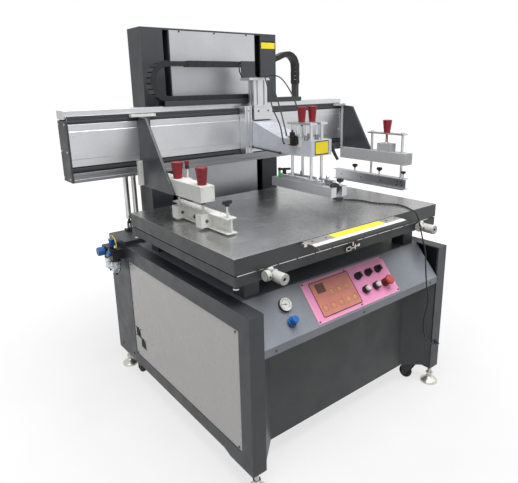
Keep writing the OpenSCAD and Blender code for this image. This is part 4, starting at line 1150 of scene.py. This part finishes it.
class PRINTER_OT_table_screws(Operator):
    """Studs under the table's corners, the register plate's screws and yellow strip, a painted highlight strip and a
    painted shade strip on its falling front, and the latch on the frame's front"""
    bl_idname = "printer.table_screws"
    bl_label = "Table fittings"

    def execute(self, context):
        make("table_corner_studs", "base", "zinc",
             [post(x, y, 777.4, 784, 10.3, 32, 1.2) for x in (-534, 534) for y in (86, 836)], crease=30)
        body = NODE_BODY["register_plate"]
        make("register_screws", body, "dark_steel",
             screws([(x, 44, 886) for x in (-236, -170, 168, 222)], UP, 3.6, 1.6))
        make("register_strip", body, "yellow_film", [plate("z", 885.9, 886.5, rounded(-140, 23, 138, 61, 2))],
             bevel=0.2)
        near, far, edge = ((y, self.slope(y)) for y in (2, 21, 1.9))
        # the white strip on the slanted front paints the light that this slant reflects: a painted highlight
        make("register_white_strip", body, "white_paint",
             [plate("x", -261.5, 241.5, [(near[0], near[1] - 0.3), (far[0], far[1] - 0.3), (far[0], far[1] + 0.5),
                                         (near[0], near[1] + 0.5)])], bevel=0.2)
        # the black strip on the plate's front lip paints the shade in the gap below the white strip: painted shade
        make("register_edge", body, "rubber_black",
             [plate("x", -261.8, 241.8, [(-16.9, 879.8), (edge[0], edge[1] - 0.2), (edge[0], edge[1] + 0.4),
                                         (-17.1, 880.4), (-20.4, 877.1), (-20.4, 873.9), (-19.8, 873.9),
                                         (-19.8, 876.9)])], bevel=0.2)
        make("front_latch", "base", "zinc",
             [block((-40, 62, 798), (-35, 70, 816)), block((-16, 62, 798), (-11, 70, 816)),
              block((-40, 62, 798), (-11, 70, 802)), block((-40, 62, 812), (-11, 70, 816)),
              block((6, 61, 799), (11, 70, 820)), rod((-11, 64, 806), (30, 64, 812), 3, 14, 0.6),
              block((24, 62, 806), (36, 70, 817)), block((-8, 60, 816), (-2, 70, 832))], bevel=0.6)
        make("front_latch_button", "base", "red_plastic", [block((-6, 60, 830), (19, 70, 842))], bevel=1.6)
        return {"FINISHED"}

    def slope(self, y):
        """Height of the register plate's falling front, 6 mm over 39 mm."""
        return 880 + (y + 17) * 6 / 39


class PRINTER_OT_filter_unit(Operator):
    """Air filter and regulator: cast blocks, two bowls with drains, blue knobs, gauge ports and a yellow hose"""
    bl_idname = "printer.filter_unit"
    bl_label = "Filter unit"

    def execute(self, context):
        x, near, middle, far = -586, 988, 1016, 1062
        make("filter_blocks", "base", "black_plastic",
             [block((-608, 962, 652), (-562, 1022, 698)), block((-608, 1028, 652), (-562, 1090, 698)),
              block((-600, 1020, 660), (-566, 1030, 690)), plate("x", -560, -550, rounded(962, 650, 1094, 694, 3)),
              post(x, near, 638, 653, 22.6, 40, 1.2), post(x, far, 638, 653, 22.6, 40, 1.2),
              post(x, middle, 696, 704, 12, 28, 1), post(x, 976, 696, 706, 9, 6, 1)],
             bevel=1.0, replaces=["filter_unit"])
        bowl = [(0, 578), (5, 578), (5, 582), (13, 583), (18.4, 587), (21.4, 593), (21.8, 600), (21.8, 639),
                (19.4, 639), (19.4, 601), (18.6, 595), (15, 589), (0, 588)]
        for name, y in (("near", near), ("far", far)):
            make(name + "_bowl", "base", "clear_bowl", [spun(bowl, (x, y, 0), 40)], crease=50)
        disc = [(0, 0), (13, 0), (13.6, 2), (13, 4), (0, 4)]
        make("filter_elements", "base", "white_plastic",
             [shape for y in (near, far) for shape in (post(x, y, 600, 639, 8, 24, 1), spun(disc, (x, y, 612), 24))],
             crease=50)
        make("bowl_drains", "base", "black_plastic", [post(x, y, 570, 580, 5.4, 16, 1) for y in (near, far)])
        drum = [(0, 0), (18, 0), (18.6, 2), (18.6, 6), (20.8, 7), (21, 9), (21, 29), (20, 31.4), (16, 32), (15, 31),
                (0, 31)]
        cap = [(0, 0), (11, 0), (11.4, 1), (11.4, 8), (12.2, 9), (12.8, 30), (14.6, 34), (15, 36), (14.4, 38.4),
               (10, 40), (0, 40)]
        small = [(0, 0), (9, 0), (9, 2), (13.6, 3), (14, 5), (14, 12), (13, 14), (0, 14)]
        make("filter_knobs", "base", "blue_plastic",
             [spun(drum, (-608, far, 675), 72, LEFT, lobes=24, depth=0.8, span=(8, 30)),
              spun(cap, (x, middle, 700), 60, lobes=20, depth=0.7, span=(9, 33)),
              spun(small, (-608, 986, 680), 48, LEFT, lobes=16, depth=0.6, span=(4, 13))], crease=45)
        make("filter_silver", "base", "zinc",
             [post(x, 976, 704, 716, 6, 16, 0.8), rod((x, 1094, 676), (x, 1086, 676), 9, 6),
              *screws([(-608, 1000, 658), (-608, 1034, 658), (-608, 1000, 692)], LEFT, 3.4)])
        loop = smooth_path([(-586, 1016, 736), (-588, 1018, 748), (-588, 1006, 757), (-586, 984, 752),
                            (-586, 968, 740), (-586, 962, 724), (-584, 966, 708), (-584, 972, 700)])
        make("filter_hose", "base", "yellow_film", [sweep(loop, 2.6, 10)], crease=50)
        return {"FINISHED"}


# Name, body's node, finish, front and rear face and outline of each label, borders first on the head
COLUMN_LABEL_Y, HEAD_LABEL_Y = 974.6, 393.9
LABELS = (
    ("column_label", "column", "yellow_film", COLUMN_LABEL_Y - 0.5, COLUMN_LABEL_Y + 0.4, (286, 1598, 376, 1628, 2)),
    ("column_label_strip", "column", "black_plastic", COLUMN_LABEL_Y - 0.5, COLUMN_LABEL_Y + 0.4,
     (286, 1628.6, 376, 1637, 1.5)),
    ("head_label_back", "head_arm", "black_plastic", HEAD_LABEL_Y - 0.6, HEAD_LABEL_Y + 0.4,
     (113, 1116, 197, 1176, 5)),
    ("head_label", "head_arm", "yellow_film", HEAD_LABEL_Y - 1.1, HEAD_LABEL_Y - 0.5, (117, 1120, 193, 1172, 4)),
)


class PRINTER_OT_labels(Operator):
    """Bare yellow labels with dark borders on the column and the head's arm"""
    bl_idname = "printer.labels"
    bl_label = "Labels"

    def execute(self, context):
        for name, node, slot, front, rear, outline in LABELS:
            make(name, NODE_BODY[node], slot, [plate("y", front, rear, rounded(*outline))], bevel=0.2)
        return {"FINISHED"}


class PRINTER_OT_table(Operator):
    """Table top with a bright sheet over dark sides, the bright joint below it, and the register plate with its
    clip"""
    bl_idname = "printer.table"
    bl_label = "Table"

    def execute(self, context):
        top = eased("table_top", 1.4)
        refinish(top, of_faces(top, "normal")[:, 2] < 0.5, "front_paint")
        make("joint_strip", "base", "stainless",
             [block((x, 70.2, 826.8), (x + 80, 78, 829.2)) for x in np.arange(-540, 500, 87)])
        eased("register_plate", 0.8, "zinc")
        make("register_clip", NODE_BODY["register_plate"], "zinc",
             [block((-274, 44, 872), (-262, 60, 874)), post(-267, 52, 873, 879, 3.4, 24, 0.8)], bevel=0.5)
        return {"FINISHED"}


# Column and beam

DAMPERS = ((-450, 1118), (-410, 1118))


class PRINTER_OT_column_details(Operator):
    """Screws of the column's top cap and cover, and the dampers with their clevises, barrels and piston rods"""
    bl_idname = "printer.column_details"
    bl_label = "Column details"

    def execute(self, context):
        make("column_screws", "base", "dark_steel", screws([(x, 975, 1665) for x in (-333, 327)], FRONT, 3.6, 1.8)
             + screws([(x, 975, 1658) for x in (-191, 0, 190)], FRONT, 4.2, 1.8))
        barrel = [(9.6, 71), (13, 71), (13.4, 72.4), (13.4, 76), (12.6, 77.4), (12.6, 262), (13.6, 263.4),
                  (13.6, 274), (12.8, 275), (9.6, 275), (9.6, 71)]
        foot = [(0, 60), (13, 60), (13.2, 61), (13.2, 70.6), (0, 70.6)]
        ear = [(1106, 740), (1130, 740), (1128, 766), (1124, 778), (1118, 781), (1112, 778), (1108, 766)]
        barrels, dark, rods = [], [], []
        for x, y in DAMPERS:
            barrels += [spun(profile, (x, y, 732), 36) for profile in (barrel, foot)]
            dark += [plate("x", x + side * 6.5 - 1.5, x + side * 6.5 + 1.5, ear) for side in SIDES]
            dark += [rod((x - 10, y, 771), (x + 10, y, 771), 4, 16, 0.6), post(x, y, 767, 792, 6)]
            rods += [post(x, y, 832, 1030, 9.5, 32, 0.6), post(x, y, 1026, 1046.9, 11.5, 6, 1)]
        dark.append(block((-472, 1100, 732), (-392, 1136, 739.6)))
        dark += screws([(x, y, 739.6) for x in (-467, -430, -397) for y in (1105, 1130)], UP, 3.6)
        make("damper_bodies", "base", "zinc", barrels, replaces=["damper_barrels"], crease=40)
        make("damper_clevises", "base", "dark_steel", dark, bevel=0.5)
        make("damper_pistons", NODE_BODY["damper_rods"], "chrome_rod", rods, replaces=["damper_rods"], crease=40)
        return {"FINISHED"}


class PRINTER_OT_beam_details(Operator):
    """Screws of the beam's face, end plates and cap rail"""
    bl_idname = "printer.beam_details"
    bl_label = "Beam details"

    def execute(self, context):
        body = NODE_BODY["beam"]
        make("beam_face_screws", body, "zinc",
             screws([(x, 856, z) for x in (-752, 752) for z in (1160, 1232)], FRONT, 4, 2))
        make("beam_end_screws", body, "zinc",
             [screw for side in SIDES for screw in
              screws([(side * 776, y, z) for z in (1062, 1170, 1278) for y in (872, 944)], (side, 0, 0), 4.4)])
        make("cap_rail_screws", body, "zinc", screws([(x, 892, 1330) for x in np.arange(-740, 760, 125)], UP, 3.6, 1.8))
        return {"FINISHED"}


# Arms

LEFT_STEMS = ((-438, 425), (-438, 610))
LEFT_TEE = (-416, 296)
LEFT_VALVE = (-397, 603)
RIGHT_POSTS = ((782, 431), (782, 631))


def arm_face_screws(xs):
    """Screws in the front end of an arm's tube."""
    return screws([(x, 388, z) for x in xs for z in (1007, 1051)], FRONT, 3, 1.4)


class PRINTER_OT_left_arm(Operator):
    """Nuts and rings under the left tube, thumb screws, the tee knob, the black valve with its red cap, screws
    and the clamp rail's holes"""
    bl_idname = "printer.left_arm"
    bl_label = "Left arm details"

    def execute(self, context):
        arm, rail = NODE_BODY["left_arm_tube"], NODE_BODY["left_clamp_rail"]
        ring = [(5.4, 993), (13.4, 993), (14, 994), (14, 998.9), (5.4, 998.9), (5.4, 993)]
        washer = [(5.4, 1059.2), (12, 1059.2), (12, 1059.28), (5.4, 1059.28), (5.4, 1059.2)]
        make("left_stem_rings", arm, "zinc",
             [spun(profile, (*stem, 0), n) for profile, n in ((ring, 32), (washer, 24)) for stem in LEFT_STEMS])
        make("left_stem_nuts", arm, "dark_steel", [hex_nut((*stem, 984.6), UP, 11, 8.4) for stem in LEFT_STEMS],
             crease=25)
        knurl = [(0, 0), (9.2, 0), (9.8, 1), (9.8, 10.4), (9.2, 11.4), (3, 11.6), (0, 11.6)]
        collar = [(4.2, 0), (6.6, 0), (6.6, 1), (4.2, 1), (4.2, 0)]
        dark, light = [], []
        for x, y in LEFT_STEMS:
            dark += [spun(knurl, (-452, y + 28.4, 932), 48, BACK, lobes=16, depth=0.9, span=(0.5, 11)),
                     spun(collar, (x, y - 21.2, 922), 24, FRONT)]
            light += screws([(-462.1, y - 12, 940), (-462.1, y + 12, 904)], LEFT, 3, 1.2)
        make("left_thumb_screws", rail, "black_plastic", dark, crease=40)
        make("left_block_screws", rail, "zinc", light)
        self.tee()
        make("left_arm_screws", arm, "zinc", arm_face_screws((-460, -416))
             + screws([(x, 853, 1305) for x in (-500, -456, -412)], UP, 4, 2)
             + screws([(-491, 838, z) for z in (1062, 1096)], FRONT, 4, 2)
             + screws([(-442, 838, z) for z in (1090, 1190, 1270)], FRONT, 4.4, 2))
        self.valve(arm)
        hole = [(0, 952.8), (3.2, 952.8), (3.2, 953.25), (0, 953.25)]
        make("left_rail_holes", rail, "black_plastic",
             [spun(hole, (-396, y, 0), 18) for y in (330, 372, 462, 508, 548, 655)])
        return {"FINISHED"}

    def tee(self):
        """Clamp screw of the rail's front end."""
        screw = NODE_BODY["left_clamp_screw"]
        make("left_tee_stem", screw, "zinc", [post(*LEFT_TEE, 943, 997, 4, 16), hex_nut((*LEFT_TEE, 968), UP, 8, 6)],
             replaces=["left_clamp_screw"], crease=30)
        wing = np.array([(-19, -4.6), (-10, -6.4), (10, -6.4), (19, -4.6)])
        make("left_tee_knob", screw, "black_plastic",
             [moved(prism(np.vstack([wing, -wing]), 12), (*LEFT_TEE, 1005)), post(*LEFT_TEE, 996, 1006, 9, 28, 1)],
             bevel=1.4)

    def valve(self, arm):
        """Hand valve on a light post beside the tube."""
        make("left_valve_post", arm, "white_paint",
             [block((-408.2, 588, 1046), (-386, 618, 1056)), post(*LEFT_VALVE, 1055, 1096, 4.4, 20, 0.6)], bevel=0.8)
        ball = [(0, 1093), (5, 1093.4), (8, 1096), (9.4, 1100), (9, 1105), (6.4, 1109), (5, 1113), (0, 1113)]
        make("left_air_valve", arm, "black_plastic", [spun(ball, (*LEFT_VALVE, 0))], crease=50)
        cap = [(0, 1111), (6.4, 1111), (8.8, 1113), (9.2, 1124), (8, 1126), (0, 1126.4)]
        make("left_valve_cap", arm, "red_plastic", [spun(cap, (*LEFT_VALVE, 0))], crease=50)


class PRINTER_OT_right_arm(Operator):
    """Right gusset with its light slide strip, lobed air cylinder, rings, star knobs, screws and rail holes"""
    bl_idname = "printer.right_arm"
    bl_label = "Right arm details"

    def execute(self, context):
        arm, rail, screw = (NODE_BODY[n] for n in ("right_arm_tube", "right_clamp_rail", "right_clamp_screw"))
        outline = [(838, 1059), (642, 1059), (642, 1063), (782, 1290), (838, 1294)]
        make("right_gusset_plate", arm, "frame_paint",
             [plate("x", 780, 792, outline), block((780.2, 838, 1007), (792, 855.5, 1294))], bevel=1,
             replaces=["right_gusset"])
        make("right_slide_strip", arm, "arm_grey",
             [block((769, 846, 1007), (779.8, 855.5, 1293.8)), block((714, 842, 1294), (792, 865.5, 1305))], bevel=1)
        make("right_arm_screws", arm, "zinc",
             screws([(774.4, 846, z) for z in (1030, 1168, 1224, 1280)], FRONT, 3.4, 2)
             + screws([(x, 853, 1305) for x in (722, 752, 784)], UP, 4, 2) + arm_face_screws((760, 804)))
        body = [(7.2, 1059.2), (24, 1059.2), (25, 1060.4), (25, 1098), (24, 1099.4), (14, 1099.4), (14, 1102),
                (7.2, 1102), (7.2, 1059.2)]
        ring = [(7.2, 1099.4), (12.4, 1099.4), (13, 1101), (13, 1106), (12, 1107.4), (7.2, 1107.4), (7.2, 1099.4)]
        make("right_air_cylinder", arm, "anodised",
             [spun(body, (*RIGHT_ROD, 0), 96, lobes=8, depth=3.2, span=(1060, 1099.2)),
              spun(ring, (*RIGHT_ROD, 0), 40)], crease=35)
        make("right_star_knobs", rail, "black_plastic", [self.star((782, y, 946)) for y in (749, 573)], crease=45)
        make("right_star_stems", rail, "zinc", [post(782, y, 925.2, 947, 4.6, 18, 0.6) for y in (749, 573)])
        holes = ((451, 905), (426, 905), (454, 886), (423, 886), (560, 896), (700, 896), (850, 896))
        make("right_rail_holes", rail, "black_plastic", [rod((779.2, y, z), (780, y, z), 4, 18) for y, z in holes])
        make("right_front_star", screw, "black_plastic", [self.star((774, 410, 950), 0.82, 0.74)],
             replaces=["right_clamp_screw"], crease=45)
        make("right_front_stem", screw, "zinc", [post(774, 410, 925.4, 951, 3.9, 18, 0.6)])
        make("right_bridge_nuts", rail, "zinc", [hex_nut((*place, 1158.1), UP, 9, 6) for place in RIGHT_POSTS],
             crease=25)
        seat = [(7.2, 994.2), (8.6, 994.2), (9, 994.8), (9, 998.8), (7.2, 998.8), (7.2, 994.2)]
        make("right_post_rings", arm, "zinc", [spun(seat, (*place, 0), 28) for place in RIGHT_POSTS])
        return {"FINISHED"}

    def star(self, place, wide=1.0, tall=1.0):
        """Five-lobed knob of 16 mm radius on a round boss, made smaller by two factors."""
        profile = [(0, 0), (7, 0), (7.4, 3), (13.4, 5), (16, 7), (16.2, 16), (15, 19), (9, 20.6), (0, 20.8)]
        points, faces = lathe(profile, 60, lobes=5, depth=5, span=(4, 19))
        return moved((points * (wide, wide, tall), faces), place)


# Print head

BAR_XS = (101.5, 164)
POST_YS = (436, 493)
ROD_YS = (340, 618)
LOCK = (108, 590)
FLOOD_STAR = (172, 299)


class PRINTER_OT_head(Operator):
    """Valve, fittings, sleeves, pistons, linkage, lever, carriage screws and the pieces on the two bars"""
    bl_idname = "printer.head"
    bl_label = "Head details"

    def execute(self, context):
        self.arm(NODE_BODY["head_arm"])
        self.bars(NODE_BODY["squeegee_bar"], NODE_BODY["flood_bar"])
        heads = screws([(x, y, 1255) for x in BAR_XS for y in (404, 525)], UP, 4, 2.6)
        make("squeegee_post_screws", NODE_BODY["squeegee_bar"], "zinc", heads[:2])
        make("flood_post_screws", NODE_BODY["flood_bar"], "zinc", heads[2:])
        make("carriage_screws", NODE_BODY["head_arm"], "dark_steel",
             screws([(x, 798, 1293) for x in (124, 184)], FRONT, 4.4, 2)
             + screws([(70, 808, z) for z in (1124, 1296)], FRONT, 3, 1.6))
        return {"FINISHED"}

    def arm(self, head):
        """What sits on the arm itself."""
        make("head_valve_plate", head, "white_paint", [plate("x", 89.4, 93.4, rounded(458, 1148, 518, 1199, 3))],
             bevel=0.5)
        make("head_valve", head, "black_plastic",
             [block((72, 484, 1153), (81, 511, 1212)), block((80, 482, 1153), (89.6, 513, 1198)),
              block((68, 489, 1160), (72.2, 506, 1180)), post(76, 497, 1211, 1222, 4.4, 20, 0.8),
              block((76, 472, 1160), (89.6, 482.4, 1194))], bevel=0.8)
        make("head_fittings", head, "brass_fitting",
             [shape for z in (1158, 1189)
              for shape in (hex_nut((82, 513, z), BACK, 6.6, 7), rod((82, 519, z), (82, 533, z), 4.6, 16, 0.6))],
             crease=25)
        sleeve = [(4.6, 0), (9.6, 0), (10.2, 1), (10.2, 9), (9.6, 10), (8.6, 10.6), (8.6, 16), (9.6, 16.6),
                  (10.2, 18), (10.2, 20), (9.6, 21), (4.6, 21), (4.6, 0)]
        make("head_sleeves", head, "rail_grey", [spun(sleeve, (x, y, 1179.2)) for x in BAR_XS for y in POST_YS],
             crease=40)
        for name, x in zip(("squeegee", "flood"), BAR_XS):
            make(name + "_pistons", NODE_BODY[name + "_bar"], "chrome_rod",
                 [post(x, y, 1166, 1245.9, 4) for y in POST_YS])
        make("head_linkage", head, "dark_steel",
             [rod((89, 805, 1120), (89, 599, 1110), 4, 14, 0.6), rod((86, 805, 1120), (93.6, 805, 1120), 7, 20, 1),
              rod((86, 599, 1110), (93.6, 599, 1110), 7, 20, 1)])
        bar = smooth_path([(222, 398, 1150), (226, 394, 1128), (234, 386, 1104), (241, 378, 1086)], 6)
        make("head_lever", head, "black_plastic",
             [sweep(bar, np.linspace(8.5, 6, len(bar)), 16), rod((214.6, 402, 1143), (224, 402, 1143), 9, 24, 1)],
             crease=40)

    def bars(self, squeegee, flood):
        """Hub, star knob, rods, clamping lumps and lock on the squeegee and flood bars."""
        hub = [(0, 0), (22, 0), (24, 2), (24, 14), (22, 16), (9, 16), (8, 20), (0, 20)]
        make("bar_hub", squeegee, "black_plastic", [spun(hub, (129, 298, 985), 44, FRONT)], crease=40)
        star = [(0, 0), (7, 0), (15, 3), (16, 5), (16, 13), (14, 16), (0, 17)]
        make("flood_star_knob", flood, "black_plastic",
             [spun(star, (*FLOOD_STAR, 1004), 60, lobes=5, depth=5, span=(2, 17))], crease=45)
        make("flood_star_stem", flood, "zinc",
             [post(*FLOOD_STAR, 991, 1006, 5, 18), post(*FLOOD_STAR, 991.4, 996, 10, 24, 0.8)])
        make("squeegee_rods", squeegee, "chrome_rod",
             [rod((x, ROD_YS[0], 1010), (x, ROD_YS[1], 1010), 4, 14, 0.6) for x in (100, 116)])
        for name, body, x in (("squeegee_lumps", squeegee, 108), ("flood_lumps", flood, 172)):
            make(name, body, "chrome_rod", [post(x, y, 1006, 1024, 8, 24, 1.4) for y in (372, 540)], crease=40)
        make("bar_lock_body", squeegee, "black_plastic",
             [post(*LOCK, 1006, 1032, 9, 24, 1), post(*LOCK, 1032, 1040, 6, 20, 1)], crease=40)
        make("bar_lock_handle", squeegee, "black_plastic",
             [rod((95, 604, 1034), (112, 552, 1040), 5.4, 16, 1.4), post(95, 610, 1028, 1040, 7, 20, 1)], crease=40)
        make("bar_lock_lever", squeegee, "green_plastic", [post(95, 610, 992, 1030, 6, 18, 1.4)], crease=40)


class PRINTER_PT_panel(Panel):
    """Lists the steps that build the printer"""
    bl_idname = "PRINTER_PT_panel"
    bl_label = "Flatbed Screen Printer"
    bl_space_type = "VIEW_3D"
    bl_region_type = "UI"
    bl_category = "Printer"

    def draw(self, context):
        layout = self.layout
        for operator in STEPS:
            layout.operator(operator.bl_idname)
        for group in (context.scene.printer_sizes, context.scene.printer_colours):
            for key in group.bl_rna.properties.keys():
                if key not in ("rna_type", "name"):
                    layout.prop(group, key)


STEPS = (
    PRINTER_OT_stage, PRINTER_OT_finishes, PRINTER_OT_cords, PRINTER_OT_sheet_edges, PRINTER_OT_red_knobs,
    PRINTER_OT_table_knobs, PRINTER_OT_chains, PRINTER_OT_gauge, PRINTER_OT_control_panel, PRINTER_OT_feet,
    PRINTER_OT_wheels, PRINTER_OT_fans, PRINTER_OT_base_screws, PRINTER_OT_table_screws, PRINTER_OT_filter_unit,
    PRINTER_OT_labels, PRINTER_OT_table, PRINTER_OT_column_details, PRINTER_OT_beam_details, PRINTER_OT_left_arm,
    PRINTER_OT_right_arm, PRINTER_OT_head,
)
CLASSES = (PrinterColours, PrinterSizes, *STEPS, PRINTER_PT_panel)


def register():
    for cls in CLASSES:
        bpy.utils.register_class(cls)
    bpy.types.Scene.printer_colours = PointerProperty(type=PrinterColours)
    bpy.types.Scene.printer_sizes = PointerProperty(type=PrinterSizes)


def unregister():
    del bpy.types.Scene.printer_sizes
    del bpy.types.Scene.printer_colours
    for cls in reversed(CLASSES):
        bpy.utils.unregister_class(cls)


def build():
    """Runs every step in order."""
    register()
    for operator in STEPS:
        group, name = operator.bl_idname.split(".")
        getattr(getattr(bpy.ops, group), name)()


if __name__ == "__main__":
    build()
